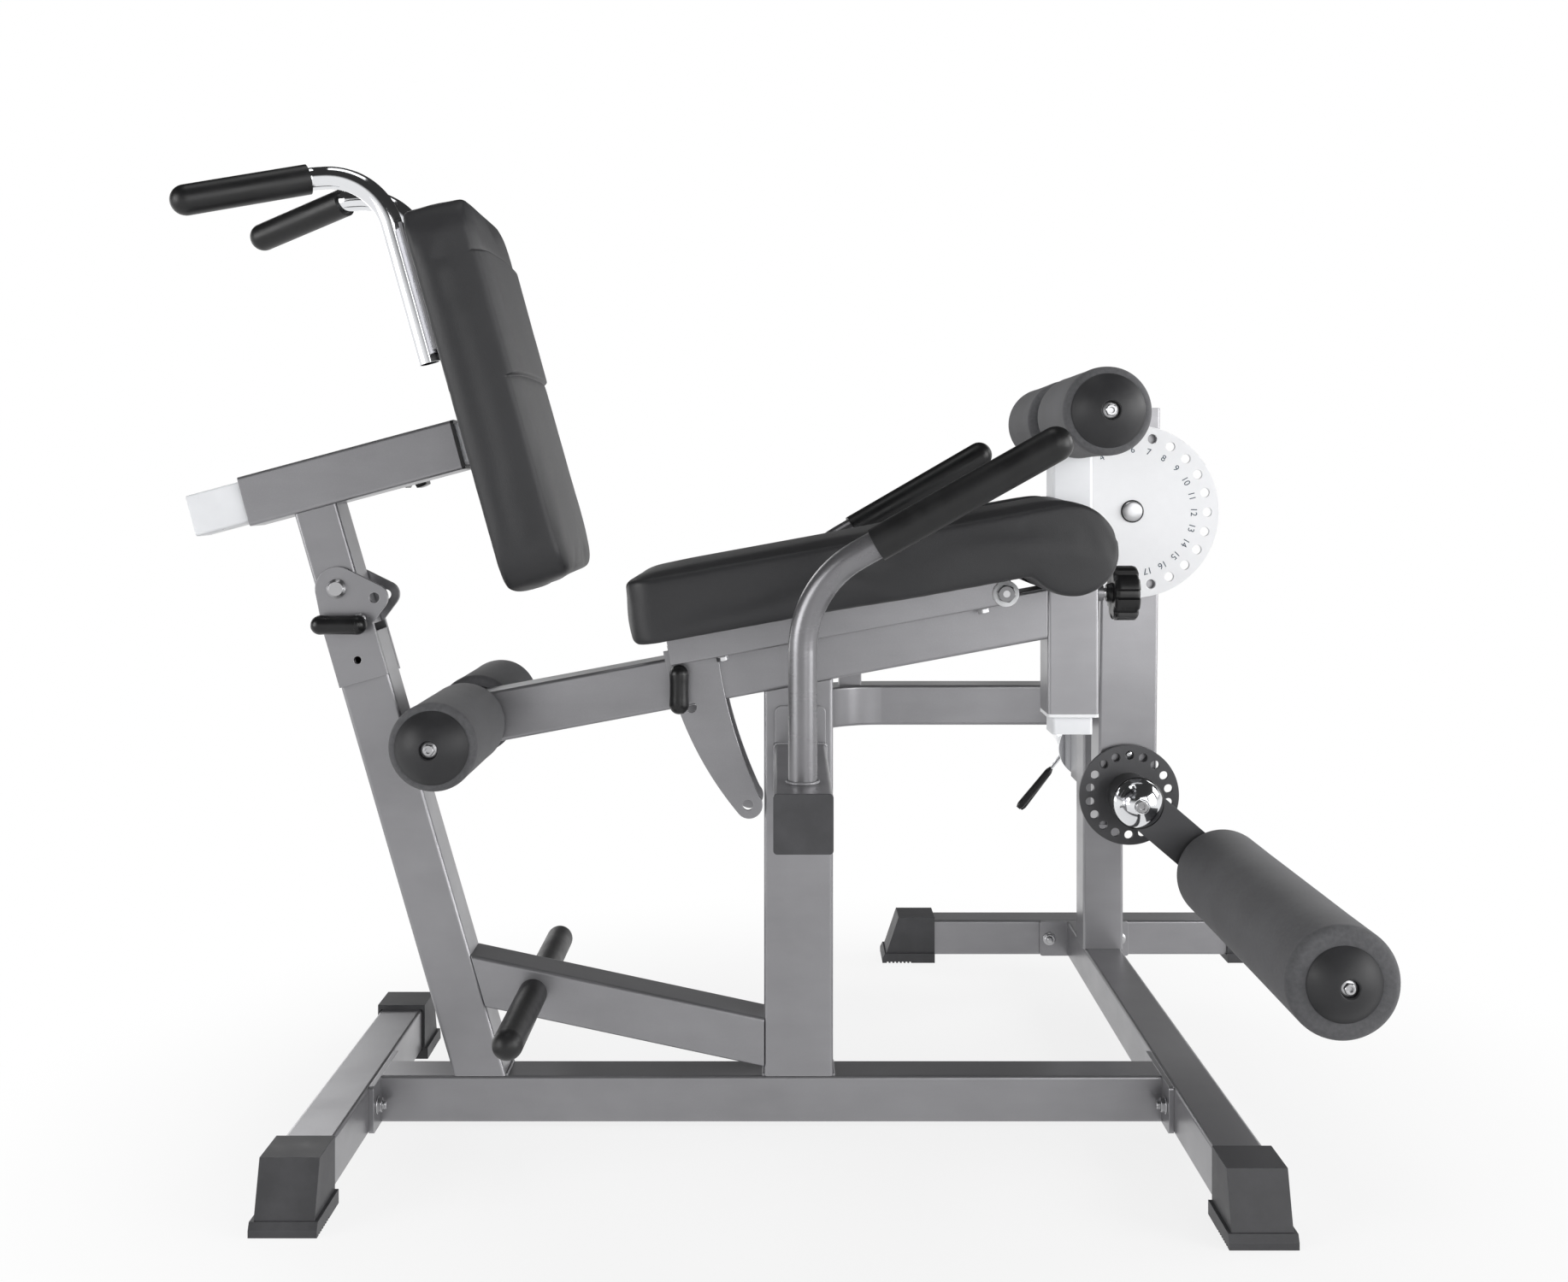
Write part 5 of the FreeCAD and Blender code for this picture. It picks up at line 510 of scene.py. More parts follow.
padding = {"voxel": 5.0, "smaller": 1.6, "pressure": 4.0, "frames": 20, "cap": 3.2, "rests": 7}
backPad = {"x": -315.5, "z": 641, "lean": 15.6, "length": 458, "half": 137, "thick": 78, "soft": 9,
           "corner": 42, "crown": 5, "bandLow": 241, "bandHigh": 386, "band": 3.6}
seatPad = {"x": -173, "z": 581.3, "slope": 10.4, "length": 560, "thick": 79.5, "soft": 9, "crown": 4,
           "rollAlong": 505.7, "rollUp": 24.5, "rollRadius": 55, "halfRear": 140, "halfFront": 168,
           "corner": 34, "flareStart": 218, "flareEnd": 334, "notchStart": 420, "notchHalf": 36,
           "notchReach": 700, "notchDeep": (-120, 260)}


def smoothStep(value):
    value = max(0.0, min(1.0, value))
    return value * value * (3 - 2 * value)


def padSection(half, low, high, crown, corner):  # (across, depth) round one slice of a cushion
    corner = min(corner, half * 0.5, (high - low) * 0.45)
    spots = []
    for step in range(17):  # flat where it rests on its board
        spots.append((-half + corner + 2 * (half - corner) * step / 16, low))
    for centre, begin in (((half - corner, low + corner), -90), ((half - corner, high - corner), 0)):
        for step in range(1, 7):
            angle = math.radians(begin + 15 * step)
            spots.append((centre[0] + corner * math.cos(angle), centre[1] + corner * math.sin(angle)))
        if begin == -90:
            for step in range(1, 8):
                share = step / 8
                spots.append((half + crown * 0.16 * math.sin(math.pi * share),
                              low + corner + (high - low - 2 * corner) * share))
    for step in range(1, 30):
        share = step / 30
        spots.append((half - corner - 2 * (half - corner) * share,
                      high + crown * math.sin(math.pi * share) ** 0.75))
    for centre, begin in (((-half + corner, high - corner), 90), ((-half + corner, low + corner), 180)):
        for step in range(0, 6):
            angle = math.radians(begin + 15 * step)
            spots.append((centre[0] + corner * math.cos(angle), centre[1] + corner * math.sin(angle)))
        if begin == 90:
            for step in range(0, 8):
                share = step / 8
                spots.append((-half - crown * 0.16 * math.sin(math.pi * share),
                              high - corner - (high - low - 2 * corner) * share))
    return spots


def closeEnd(points, faces, ring, direction):
    centre = sum((points[i] for i in ring), Vector()) / len(ring)
    last = ring
    for shrink in (0.8, 0.55, 0.3):
        start = len(points)
        points.extend(centre + (points[i] - centre) * shrink for i in ring)
        fresh = list(range(start, start + len(ring)))
        for i in range(len(ring)):
            j = (i + 1) % len(ring)
            quad = (last[i], last[j], fresh[j], fresh[i])
            faces.append(quad if direction > 0 else tuple(reversed(quad)))
        last = fresh
    points.append(centre)
    for i in range(len(ring)):
        j = (i + 1) % len(ring)
        tri = (last[i], last[j], len(points) - 1)
        faces.append(tri if direction > 0 else tuple(reversed(tri)))


def loft(name, slices, toSpace, material):
    points, faces, rings = [], [], []
    for run, section in slices:
        rings.append(list(range(len(points), len(points) + len(section))))
        points.extend(toSpace(across, run, depth) for across, depth in section)
    for first, second in zip(rings, rings[1:]):
        for i in range(len(first)):
            j = (i + 1) % len(first)
            faces.append((first[i], second[i], second[j], first[j]))
    closeEnd(points, faces, rings[0], 1)
    closeEnd(points, faces, rings[-1], -1)
    made = addMesh(name, points, faces, material, sharpAngle=60)
    fix = bmesh.new()
    fix.from_mesh(made.data)
    bmesh.ops.recalc_face_normals(fix, faces=fix.faces)
    fix.to_mesh(made.data)
    fix.free()
    return made


lean, slope = math.radians(backPad["lean"]), math.radians(seatPad["slope"])
backUp = Vector((-math.sin(lean), 0, math.cos(lean)))
backFront = Vector((math.cos(lean), 0, math.sin(lean)))
seatAlong = Vector((math.cos(slope), 0, math.sin(slope)))
seatUp = Vector((-math.sin(slope), 0, math.cos(slope)))


def onBack(across, run, depth):
    return at(backPad["x"], across, backPad["z"]) + (backUp * run + backFront * depth) / 1000


def onSeat(across, run, depth):
    return at(seatPad["x"], across, seatPad["z"]) + (seatAlong * run + seatUp * depth) / 1000


def backSlices():
    p, slices = backPad, []
    length, corner, soft = p["length"], p["corner"], p["soft"]
    runs = [corner * (1 - math.cos(math.radians(a))) for a in (0, 8, 16, 25, 35, 46, 58, 70, 82, 90)]
    middle = [corner + (length - 2 * corner) * i / 44 for i in range(1, 44)]
    edges = []
    for edge in (p["bandLow"], p["bandHigh"]):
        edges += [edge - 3, edge - 1.4, edge - 0.6, edge, edge + 0.6, edge + 1.4, edge + 3]
    middle = sorted([m for m in middle if all(abs(m - e) > 3.5 for e in edges)] + edges)
    for run in runs + middle + [length - r for r in reversed(runs)]:
        fromEnd = min(run, length - run)
        turn = max(0.0, 1 - fromEnd / corner)
        half = p["half"] - corner + corner * math.sqrt(max(0.0, 1 - turn * turn))
        close = max(0.0, 1 - fromEnd / soft)
        shrink = soft * (1 - math.sqrt(max(0.0, 1 - close * close)))
        crown = p["crown"] * (0.35 + 0.65 * smoothStep(fromEnd / 90))
        slices.append((run, padSection(half - shrink * 0.4, 0.4 + shrink, p["thick"] - shrink, crown,
                                       max(4.5, soft - shrink * 0.5))))
    return slices


def seatHalf(run):
    p = seatPad
    if run < p["corner"]:
        return p["halfRear"] - p["corner"] + math.sqrt(max(0.0, p["corner"] ** 2 - (p["corner"] - run) ** 2))
    wide = smoothStep((run - p["flareStart"]) / (p["flareEnd"] - p["flareStart"]))
    return p["halfRear"] + (p["halfFront"] - p["halfRear"]) * wide


def seatSlices():
    p, slices = seatPad, []
    soft, roll, centre, rise = p["soft"], p["rollRadius"], p["rollAlong"], p["rollUp"]
    runs = [soft * (1 - math.cos(math.radians(a))) for a in (0, 15, 30, 45, 60, 75, 90)]
    runs += [13, 18, 24, 30, p["corner"], 40, 50] + [60 + 9.5 * i for i in range(41)]
    runs += [centre - roll * math.cos(math.radians(a)) for a in range(8, 180, 7)]
    for run in sorted(set(round(r, 3) for r in runs)):
        half = seatHalf(run)
        close = max(0.0, 1 - run / soft)
        shrink = soft * (1 - math.sqrt(max(0.0, 1 - close * close)))
        low, high, corner = 0.4 + shrink, p["thick"] - shrink, max(4.5, soft - shrink * 0.5)
        crown = p["crown"] * (0.35 + 0.65 * smoothStep(run / 80))
        offset = run - centre
        if abs(offset) < roll:
            swell = math.sqrt(roll * roll - offset * offset)
            low = min(low, rise - swell) if offset < 0 else rise - swell
            high = min(high, p["thick"]) if offset < 0 else min(p["thick"], rise + swell)
            if offset > 0:
                crown *= max(0.1, 1 - offset / roll)
                half -= 4 * (offset / roll) ** 3
                corner = min(corner, swell * 0.6)
        slices.append((run, padSection(half - shrink, low, high, crown, corner)))
    return slices


def cutNotch(seat):  # the slot in the seat's front for the thigh post
    p, points = seatPad, []
    half, start = p["notchHalf"], p["notchStart"]
    outline = [(p["notchReach"], -half), (p["notchReach"], half)] + [
        (start + half - half * math.cos(math.radians(a)), half * math.sin(math.radians(a)))
        for a in range(90, -91, -10)]
    count = len(outline)
    for depth in p["notchDeep"]:
        points += [onSeat(across, run, depth) for run, across in outline]
    faces = [tuple(range(count)), tuple(reversed(range(count, 2 * count)))]
    faces += [(i, i + count, (i + 1) % count + count, (i + 1) % count) for i in range(count)]
    cutter = tidied(addMesh("notchCutter", points, faces, finish["vinyl"], smooth=False))
    cut = seat.modifiers.new("notch", "BOOLEAN")
    cut.operation, cut.object, cut.solver = "DIFFERENCE", cutter, "EXACT"
    applyModifier(seat, cut)
    bpy.data.objects.remove(cutter)


def applyModifier(piece, modifier):
    with bpy.context.temp_override(active_object=piece, object=piece):
        bpy.ops.object.modifier_apply(modifier=modifier.name)


def swollen(piece, rests):  # blows up a slightly smaller copy with the cloth solver, and takes its form
    mesh = bmesh.new()
    mesh.from_mesh(piece.data)
    for vertex in mesh.verts:
        vertex.co -= vertex.normal * padding["smaller"] / 1000
    shape = bpy.data.meshes.new(piece.name + "Filling")
    mesh.to_mesh(shape)
    mesh.free()
    filling = bpy.data.objects.new(piece.name + "Filling", shape)
    scene.collection.objects.link(filling)
    remesh = filling.modifiers.new("skin", "REMESH")
    remesh.mode, remesh.voxel_size = "VOXEL", padding["voxel"] / 1000
    applyModifier(filling, remesh)
    before = [vertex.co.copy() for vertex in filling.data.vertices]
    held = filling.vertex_groups.new(name="held")
    held.add([i for i, spot in enumerate(before) if rests(spot)], 1.0, "REPLACE")
    cloth = filling.modifiers.new("cloth", "CLOTH")
    cloth.settings.use_pressure = True
    cloth.settings.uniform_pressure_force = padding["pressure"]
    cloth.settings.effector_weights.gravity = 0
    cloth.settings.vertex_group_mass = "held"
    cloth.settings.quality = 5
    cloth.settings.tension_stiffness = cloth.settings.compression_stiffness = 20
    cloth.point_cache.frame_start, cloth.point_cache.frame_end = 1, padding["frames"]
    for frameNumber in range(1, padding["frames"] + 1):
        scene.frame_set(frameNumber)
    graph = bpy.context.evaluated_depsgraph_get()
    blown = [vertex.co.copy() for vertex in filling.evaluated_get(graph).data.vertices]
    filling.modifiers.remove(cloth)
    for vertex, old, new in zip(filling.data.vertices, before, blown):
        move = new - old
        if move.length > padding["cap"] / 1000:
            move = move.normalized() * padding["cap"] / 1000
        vertex.co = old + move
    smooth = filling.modifiers.new("smooth", "SMOOTH")
    smooth.factor, smooth.iterations = 0.5, 6
    applyModifier(filling, smooth)
    wrap = piece.modifiers.new("wrap", "SHRINKWRAP")
    wrap.target, wrap.wrap_method, wrap.wrap_mode = filling, "NEAREST_SURFACEPOINT", "ON_SURFACE"
    applyModifier(piece, wrap)
    bpy.data.objects.remove(filling)
    scene.frame_set(1)
    print(piece.name, "filled out by simulation")


def refine(piece):
    smoother = piece.modifiers.new("finer", "SUBSURF")
    smoother.levels = 1
    applyModifier(piece, smoother)


def finishPad(piece, body, node):
    piece.data.polygons.foreach_set("use_smooth", [True] * len(piece.data.polygons))
    piece.data.set_sharp_from_angle(angle=math.radians(70))
    fitted(piece, body, "vinyl", node)
    print(piece.name, "made")


def onPad(spot, pad, along, out):  # millimetres (along, across, out) from a pad's own corner
    away = (spot - at(pad["x"], 0, pad["z"])) * 1000
    return away.dot(along), away.y, away.dot(out)


def creases(run, across, depth, thick, length, half):  # slight pulls in the skin towards corners and edges
    nearEnd = math.exp(-min(run, length - run) / 45)
    nearSide = math.exp(-(half - abs(across)) / 30)
    pull = noise.noise(Vector((run / 16, across / 16, depth / 40))) * 0.5 * nearEnd * nearSide
    ripple = noise.noise(Vector((run / 9, across / 60, depth / 55))) * 0.35 * nearSide
    return pull + ripple * (0.3 + 0.7 * depth / thick)


back = loft("backCushion", backSlices(), onBack, finish["vinyl"])
swollen(back, lambda spot: onPad(spot, backPad, backUp, backFront)[2] < padding["rests"])
p = backPad
for vertex in back.data.vertices:
    run, across, depth = onPad(vertex.co, p, backUp, backFront)
    front = smoothStep((depth - p["thick"] + 15) / 12)
    band = smoothStep((run - p["bandLow"] + 1) / 2.2) - smoothStep((run - p["bandHigh"] + 1) / 2.2)
    seam = sum(1.5 * math.exp(-((run - edge + sign * 1.6) / 1.1) ** 2)
               for edge, sign in ((p["bandLow"], 1), (p["bandHigh"], -1)))
    vertex.co += backFront * ((p["band"] * band - seam) * front
                              + creases(run, across, depth, p["thick"], p["length"], p["half"])) / 1000
refine(back)
finishPad(back, "backrest", "back_pad")

seat = loft("seatCushion", seatSlices(), onSeat, finish["vinyl"])
swollen(seat, lambda spot: onPad(spot, seatPad, seatAlong, seatUp)[2] < padding["rests"])
p = seatPad
for vertex in seat.data.vertices:
    run, across, depth = onPad(vertex.co, p, seatAlong, seatUp)
    if depth > padding["rests"]:
        vertex.co += seatUp * creases(run, across, depth, p["thick"], p["length"], seatHalf(run)) / 1000
refine(seat)
cutNotch(seat)
finishPad(seat, "seat", "seat_pad")


dial = {"x": columnAhead, "z": 731, "y": 302, "radius": 85, "step": 15, "engaged": 6, "count": 17,
        "height": 12.5, "hubRadius": 14}

numbers = []
for number in range(1, dial["count"] + 1):
    text = bpy.data.curves.new(f"number{number}", "FONT")
    text.body, text.size = str(number), dial["height"] / 1000
    text.align_x = text.align_y = "CENTER"
    text.extrude = 0.00008
    angle = math.radians(0.6 + dial["step"] * (number - dial["engaged"]))
    spot = bpy.data.objects.new(f"number{number}", text)
    spot.matrix_world = (Matrix.Translation(at(dial["x"], dial["y"] - 0.1, dial["z"]))
                         @ Matrix.Rotation(angle, 4, "Y")
                         @ Matrix.Translation(Vector((0, 0, dial["radius"] / 1000)))
                         @ Matrix.Rotation(math.pi / 2, 4, "X"))
    scene.collection.objects.link(spot)
    numbers.append(spot)
bpy.context.view_layer.update()
graph = bpy.context.evaluated_depsgraph_get()
for spot in numbers:
    mesh = bpy.data.meshes.new_from_object(spot.evaluated_get(graph))
    mesh.transform(spot.matrix_world)
    made = bpy.data.objects.new("dial" + spot.name.capitalize(), mesh)
    mesh.materials.clear()
    mesh.materials.append(finish["ink"])
    scene.collection.objects.link(made)
    fitted(made, "exercise_arm", "black_plastic")
    bpy.data.objects.remove(spot)
print("dial numbered")

frameBolts = {"across": 15.4, "head": 6.3, "radius": 4.9, "tail": 5.8, "washerRadius": 10.4, "washer": 1.4,
              "floorHeight": 38.5, "baseOffset": 45, "sideOffset": 56, "grip": 61}


def boltSet(name, spot, axis):  # a hex bolt and its nut with washers, from the head's seat along the axis
    b, axis, zinc = frameBolts, Vector(axis).normalized(), finish["zinc"]
    under, far = spot - axis * b["washer"] / 1000, spot + axis * b["grip"] / 1000
    ring, head = (b["washerRadius"], b["radius"], b["washer"]), (b["across"], b["head"] - b["washer"])
    return [washer(name + "WasherA", under, axis, *ring, zinc),
            hexHead(name + "Head", under, -axis, *head, zinc, 0.2),
            washer(name + "WasherB", far, axis, *ring, zinc),
            hexHead(name + "Nut", far + axis * b["washer"] / 1000, axis, *head, zinc, 0.5),
            threadEnd(name + "End", far + axis * (b["head"] - 1) / 1000, axis, b["radius"], b["tail"], zinc)]


boltPieces = []
rearFace, frontFace = boxOf("rear_crossbar")[0].x, boxOf("front_crossbar")[1].x
backFace = boxOf("outrigger_tube")[1].y
for side in (-1, 1):
    b = frameBolts
    x, y, z = columnAhead + side * b["sideOffset"], side * b["baseOffset"], b["floorHeight"]
    boltPieces += boltSet(f"rearBolt{side}", at(rearFace, y, z), (1, 0, 0))
    boltPieces += boltSet(f"frontBolt{side}", at(frontFace, y, z), (-1, 0, 0))
    boltPieces += boltSet(f"sideBolt{side}", at(x, backFace, z), (0, -1, 0))
fitted(joinPieces("frameBolts", boltPieces), "frame", "zinc", "frame_bolts")

seatBolts = {"runs": (96, 408), "across": 47.1, "height": -32, "hex": 13, "head": 5, "washerRadius": 8.8,
             "washer": 1.3}
padBolts = []
for side in (-1, 1):
    for run in seatBolts["runs"]:
        b, name, zinc = seatBolts, f"padBolt{side}_{run}", finish["zinc"]
        under = onSeat(side * b["across"], run, b["height"])
        padBolts += [washer(name + "Washer", under, -seatUp, b["washerRadius"], 3, b["washer"], zinc),
                     hexHead(name, under - seatUp * b["washer"] / 1000, -seatUp, b["hex"], b["head"], zinc,
                             0.3, hollow=3.2)]
fitted(joinPieces("seatPadBolts", padBolts), "seat", "zinc", "seat_pad_bolts")

pivot = {"x": 259, "z": 641, "reach": 59.6, "ring": 15.3, "ringThick": 2.8, "hex": 18.6, "head": 6.9}
for side in (-1, 1):
    face, axis = at(pivot["x"], side * pivot["reach"], pivot["z"]), Vector((0, side, 0))
    ring = washer(f"pivotRing{side}", face, axis, pivot["ring"], 8.6, pivot["ringThick"], finish["nylon"])
    fitted(ring, "frame", "nylon")
    head = hexHead(f"pivotHead{side}", face + axis * 0.0025, axis, pivot["hex"], pivot["head"],
                   finish["darkZinc"], 0.3, hollow=4.2)
    fitted(head, "frame", "zinc")

hub, hubSpot = dial["hubRadius"], at(dial["x"], dial["y"], dial["z"])
hubRing = washer("dialHubRing", hubSpot, (0, -1, 0), hub + 1.7, hub - 0.4, 1.6, finish["blackPlastic"])
fitted(hubRing, "exercise_arm", "black_plastic")
hubCap = turned("dialHubCap", [(hub - 1.6, 3.9), (hub - 1.2, 4.5), (hub - 3.2, 5.1), (6, 5.5), (0, 5.6)],
                hubSpot, (0, -1, 0), finish["zinc"], 64)
fitted(hubCap, "exercise_arm", "zinc")

knobs = {"radius": 33, "height": 30, "standoff": 20, "flutes": 8, "depth": 4.4, "pin": 6, "neck": 12.5,
         "thigh_knob": ((373.5, 0, 638), (1, 0, 0), "thigh_lock", 6.2),
         "back_knob": ((-459.6, 30, 796.5), (0, 1, 0), "back_lock", 4.6)}


def pullKnob(node):
    k, (place, axis, body, wall) = knobs, knobs[node]
    start, low, top = at(*place), k["standoff"], k["standoff"] + k["height"]
    full, hole, tip, black = k["radius"], k["pin"], -wall + 0.6, finish["blackPlastic"]
    profile = [(hole, low + 6), (k["neck"] - 1, low + 0.4), (full - 6, low), (full - 2, low + 0.8),
               (full, low + 2.6)]
    profile += [(full, low + 2.6 + (top - low - 6) * step / 6) for step in range(1, 7)]
    profile += [(full - 0.6, top - 1.8), (full - 2, top - 0.7), (full - 4, top), (full - 7, top - 0.2),
                (full - 8, top - 1.4), (10, top - 1.8), (0, top - 1.6)]

    def fluted(angle, height, reach):  # straight-sided flutes that fade out towards the face
        if reach < full - 6.5:
            return 0
        wave = math.cos(k["flutes"] * angle)
        return -k["depth"] * smoothStep((wave - 0.05) / 0.35) * (1 if reach > full - 4.5 else 0.55)

    cap = turned(node + "Cap", profile, start, axis, black, 192, fluted, 50)
    neck = turned(node + "Neck", [(hole, low - 6.4), (k["neck"] - 3, low - 6.4), (k["neck"] - 1.5, low - 5),
                                  (k["neck"], low + 1), (hole, low + 1)], start, axis, black, 48)
    pin = turned(node + "Pin", [(0, tip), (hole - 1.2, tip), (hole - 0.1, tip + 1.2), (hole - 0.1, low),
                                (0, low)], start, axis, finish["zinc"], 36)
    fitted(joinPieces(camel(node), [cap, neck, pin]), body, "black_plastic", node)


for node in ("thigh_knob", "back_knob"):
    pullKnob(node)

pinGrips = {"radius": 11.5, "shank": 5, "ring": 7, "ringLength": 3.4}


def gripPin(node, bend, body):  # a bent pull pin with a stop ring and a round black grip
    g, (low, high) = pinGrips, boxOf(node)
    radius = g["radius"]
    if bend.x:
        centre = Vector((high.x - radius, 0, high.z - g["ring"]))
        length, drop = high.x - low.x, 6
    else:
        centre = Vector(((low.x + high.x) / 2, 0, high.z - radius + 2.4))
        length, drop = high.z - low.z, 2.4
    away, tip = low.y + radius, high.y
    shank = turned(node + "Shank", [(0, 0), (g["shank"] - 1.2, 0), (g["shank"] - 0.1, 1.4),
                                    (g["shank"] - 0.1, tip - away), (0, tip - away)],
                   at(centre.x, tip, centre.z), (0, -1, 0), finish["zinc"], 36)
    wide, deep = g["ring"], g["ringLength"]
    ring = turned(node + "Ring", [(4.9, 0), (wide - 0.7, 0), (wide, 0.7), (wide, deep - 0.7),
                                  (wide - 0.7, deep), (4.9, deep)],
                  at(centre.x, away + radius + deep + 0.2, centre.z), (0, -1, 0), finish["zinc"], 40)
    profile = quarter(0, 0, radius, -90, 0, 10)
    profile = [(max(0, r), h) for r, h in profile] + [(radius - 0.35, 6), (radius - 0.5, 12)]
    straight = length - 2 * radius
    profile += [(radius - 0.5, straight - 12), (radius - 0.35, straight - 6)]
    profile += [(max(0, r), h) for r, h in quarter(0, straight, radius, 0, 90, 10)]
    begin, black = at(centre.x, away, centre.z - drop), finish["blackPlastic"]
    seamProfile = [(radius - 1, -0.6), (radius - 0.25, -0.4), (radius - 0.25, 0.4), (radius - 1, 0.6)]
    grip = turned(node + "Grip", profile, begin, bend, black, 56)
    seam = turned(node + "Seam", seamProfile, begin, bend, black, 56)
    fitted(joinPieces(camel(node), [shank, ring, grip, seam]), body, "black_plastic", node)


gripPin("fold_lock_pin", Vector((-1, 0, 0)), "fold_lock")
gripPin("seat_lock_pin", Vector((0, 0, -1)), "seat_lock")

clamp = {"x": columnAhead, "z": 349, "start": 734.5, "length": 34, "coil": 27.7, "wire": 2.5, "turns": 5,
         "lean": 50, "spread": 3, "neck": 63.5, "grip": 86, "gripWide": 6, "gripThick": 4.5}


def springCollar():
    c, ends = clamp, []
    for share, angle in ((0.25, c["lean"]), (0.75, c["lean"] + c["spread"])):
        ends.append((c["start"] + c["length"] * share, math.radians(angle)))
    (firstY, firstAngle), (lastY, lastAngle) = ends
    middle = Vector((c["x"], 0, c["z"]))

    def spot(radius, angle, y):
        return at(*(middle + Vector((-math.cos(angle), 0, -math.sin(angle))) * radius + Vector((0, y, 0))))

    def closing(share):  # the grip's ends close in
        return min(1.0, 0.45 + 6 * share, 0.35 + 6 * (1 - share))

    path = [spot(c["neck"] + 6 - 5 * i, firstAngle, firstY) for i in range(7)]
    steps = c["turns"] * 40
    for i in range(steps + 1):
        share = i / steps
        angle = firstAngle + 0.12 + (math.tau * c["turns"] - 0.24 + lastAngle - firstAngle) * share
        y = c["start"] + c["wire"] + 0.3 + (c["length"] - 2 * c["wire"] - 0.6) * share
        blend = smoothStep(min(share, 1 - share) * 12)
        side = firstY if share < 0.5 else lastY
        path.append(spot(c["coil"], angle, side + (y - side) * blend))
    path += [spot(c["neck"] + 6 - 5 * (6 - i), lastAngle, lastY) for i in range(7)]
    pieces = [pathTube("collarWire", path, c["wire"], finish["chrome"], 14)]
    for number, (y, angle) in enumerate(ends):
        grip = [spot(c["neck"] + c["grip"] * i / 24, angle, y) for i in range(25)]
        pieces.append(pathTube(f"collarGrip{number}", grip, 1.0, finish["blackPlastic"], 28, swell=closing,
                               squash=(c["gripWide"], c["gripThick"])))
    return joinPieces("springCollar", pieces)


fitted(springCollar(), "collar", "chrome", "spring_collar")

dome = {"x": 477.9, "y": 244, "z": 338, "radius": 34, "hole": 10, "rise": 27, "bolt": 15.3, "head": 4}


def domeCap():
    d, start, axis = dome, at(dome["x"], dome["y"], dome["z"]), Vector((0, -1, 0))
    full, rise = d["radius"], d["rise"]
    sphere = (full ** 2 + rise ** 2) / (2 * rise)
    radii = [full - (full - d["hole"]) * step / 26 for step in range(1, 27)]
    profile = [(full - 3, 0.3), (full, 0.3)]
    profile += [(r, math.sqrt(max(0.0, sphere ** 2 - r ** 2)) - (sphere - rise)) for r in radii]
    lip = profile[-1][1]
    profile += [(9.4, lip - 0.2), (9.2, lip - 1.4), (5, lip - 1.5)]
    shell = turned("domeShell", profile, start, axis, finish["chrome"], 96)
    ring = washer("domeRing", start, axis, full + 1.2, full - 4, 1.6, finish["blackPlastic"])
    bolt = hexHead("domeBolt", start + axis * (lip - 1.2) / 1000, axis, d["bolt"], d["head"], finish["zinc"],
                   0.2, hollow=4)
    return joinPieces("domeCap", [shell, ring, bolt])


fitted(domeCap(), "shin_unit", "chrome", "dome_cap")
print("fasteners, knobs and pins made")

welds = {"radius": 1.9, "ripple": 2.6, "postShift": -2, "postHalf": 41.6, "handleSide": 287, "handleRing": 16,
         "bracketHalf": 30.6}


def bead(name, path, closed=False, body="frame"):  # a row of overlapping weld puddles along a joint
    lengths = [0.0]
    for first, second in zip(path, path[1:]):
        lengths.append(lengths[-1] + (second - first).length * 1000)
    fine, total, index = [], lengths[-1], 0
    count = max(8, int(total / 0.65))
    for i in range(count + 1):
        want = total * i / count
        while index < len(lengths) - 2 and lengths[index + 1] < want:
            index += 1
        span = lengths[index + 1] - lengths[index]
        fine.append(path[index].lerp(path[index + 1], (want - lengths[index]) / span if span else 0))

    def puddle(share):
        place = total * share / welds["ripple"]
        uneven = noise.noise(Vector((place * 0.4, total, 0)))
        return 0.84 + 0.16 * abs(math.sin(math.pi * place)) + 0.05 * uneven

    piece = pathTube(name, fine, welds["radius"], finish["weld"], 10, closed, puddle)
    return fitted(piece, body, "grey_frame")


def ringAround(centre, half, place, corner=4):  # a square tube's outline, from (across, up) to points in space
    points = []
    for cx, cy, begin in ((half - corner, half - corner, 0), (corner - half, half - corner, 90),
                          (corner - half, corner - half, 180), (half - corner, corner - half, 270)):
        for step in range(5):
            a = math.radians(begin + 22.5 * step)
            points.append(place(centre[0] + cx + corner * math.cos(a), centre[1] + cy + corner * math.sin(a)))
    return points + [points[0]]


baseTop = boxOf("base_tube")[1].z
bracketLow, bracketHigh = boxOf("handle_bracket")
handleX = (bracketLow.x + bracketHigh.x) / 2
for name, x in (("postWeldFront", handleX + welds["postShift"] + welds["postHalf"]),
                ("postWeldRear", handleX + welds["postShift"] - welds["postHalf"]),
                ("rearPostWeld", boxOf("rear_post")[1].x + 0.6)):
    bead(name, [at(x, y, baseTop + 0.7) for y in range(-25, 26, 5)])
for name, side, top in (("nearHandleWeld", -1, bracketHigh.z + 1.3), ("farHandleWeld", 1, bracketHigh.z + 4.8)):
    reach, y = welds["handleRing"], side * welds["handleSide"]
    ring = [math.radians(a) for a in range(0, 361, 10)]
    bead(name, [at(handleX + reach * math.cos(a), y + reach * math.sin(a), top) for a in ring])
bracketMiddle = (handleX, (bracketLow.z + bracketHigh.z) / 2)
bead("bracketWeld", ringAround(bracketMiddle, welds["bracketHalf"],
                               lambda x, z: at(x, bracketHigh.y - 0.6, z)))
print("welds made")

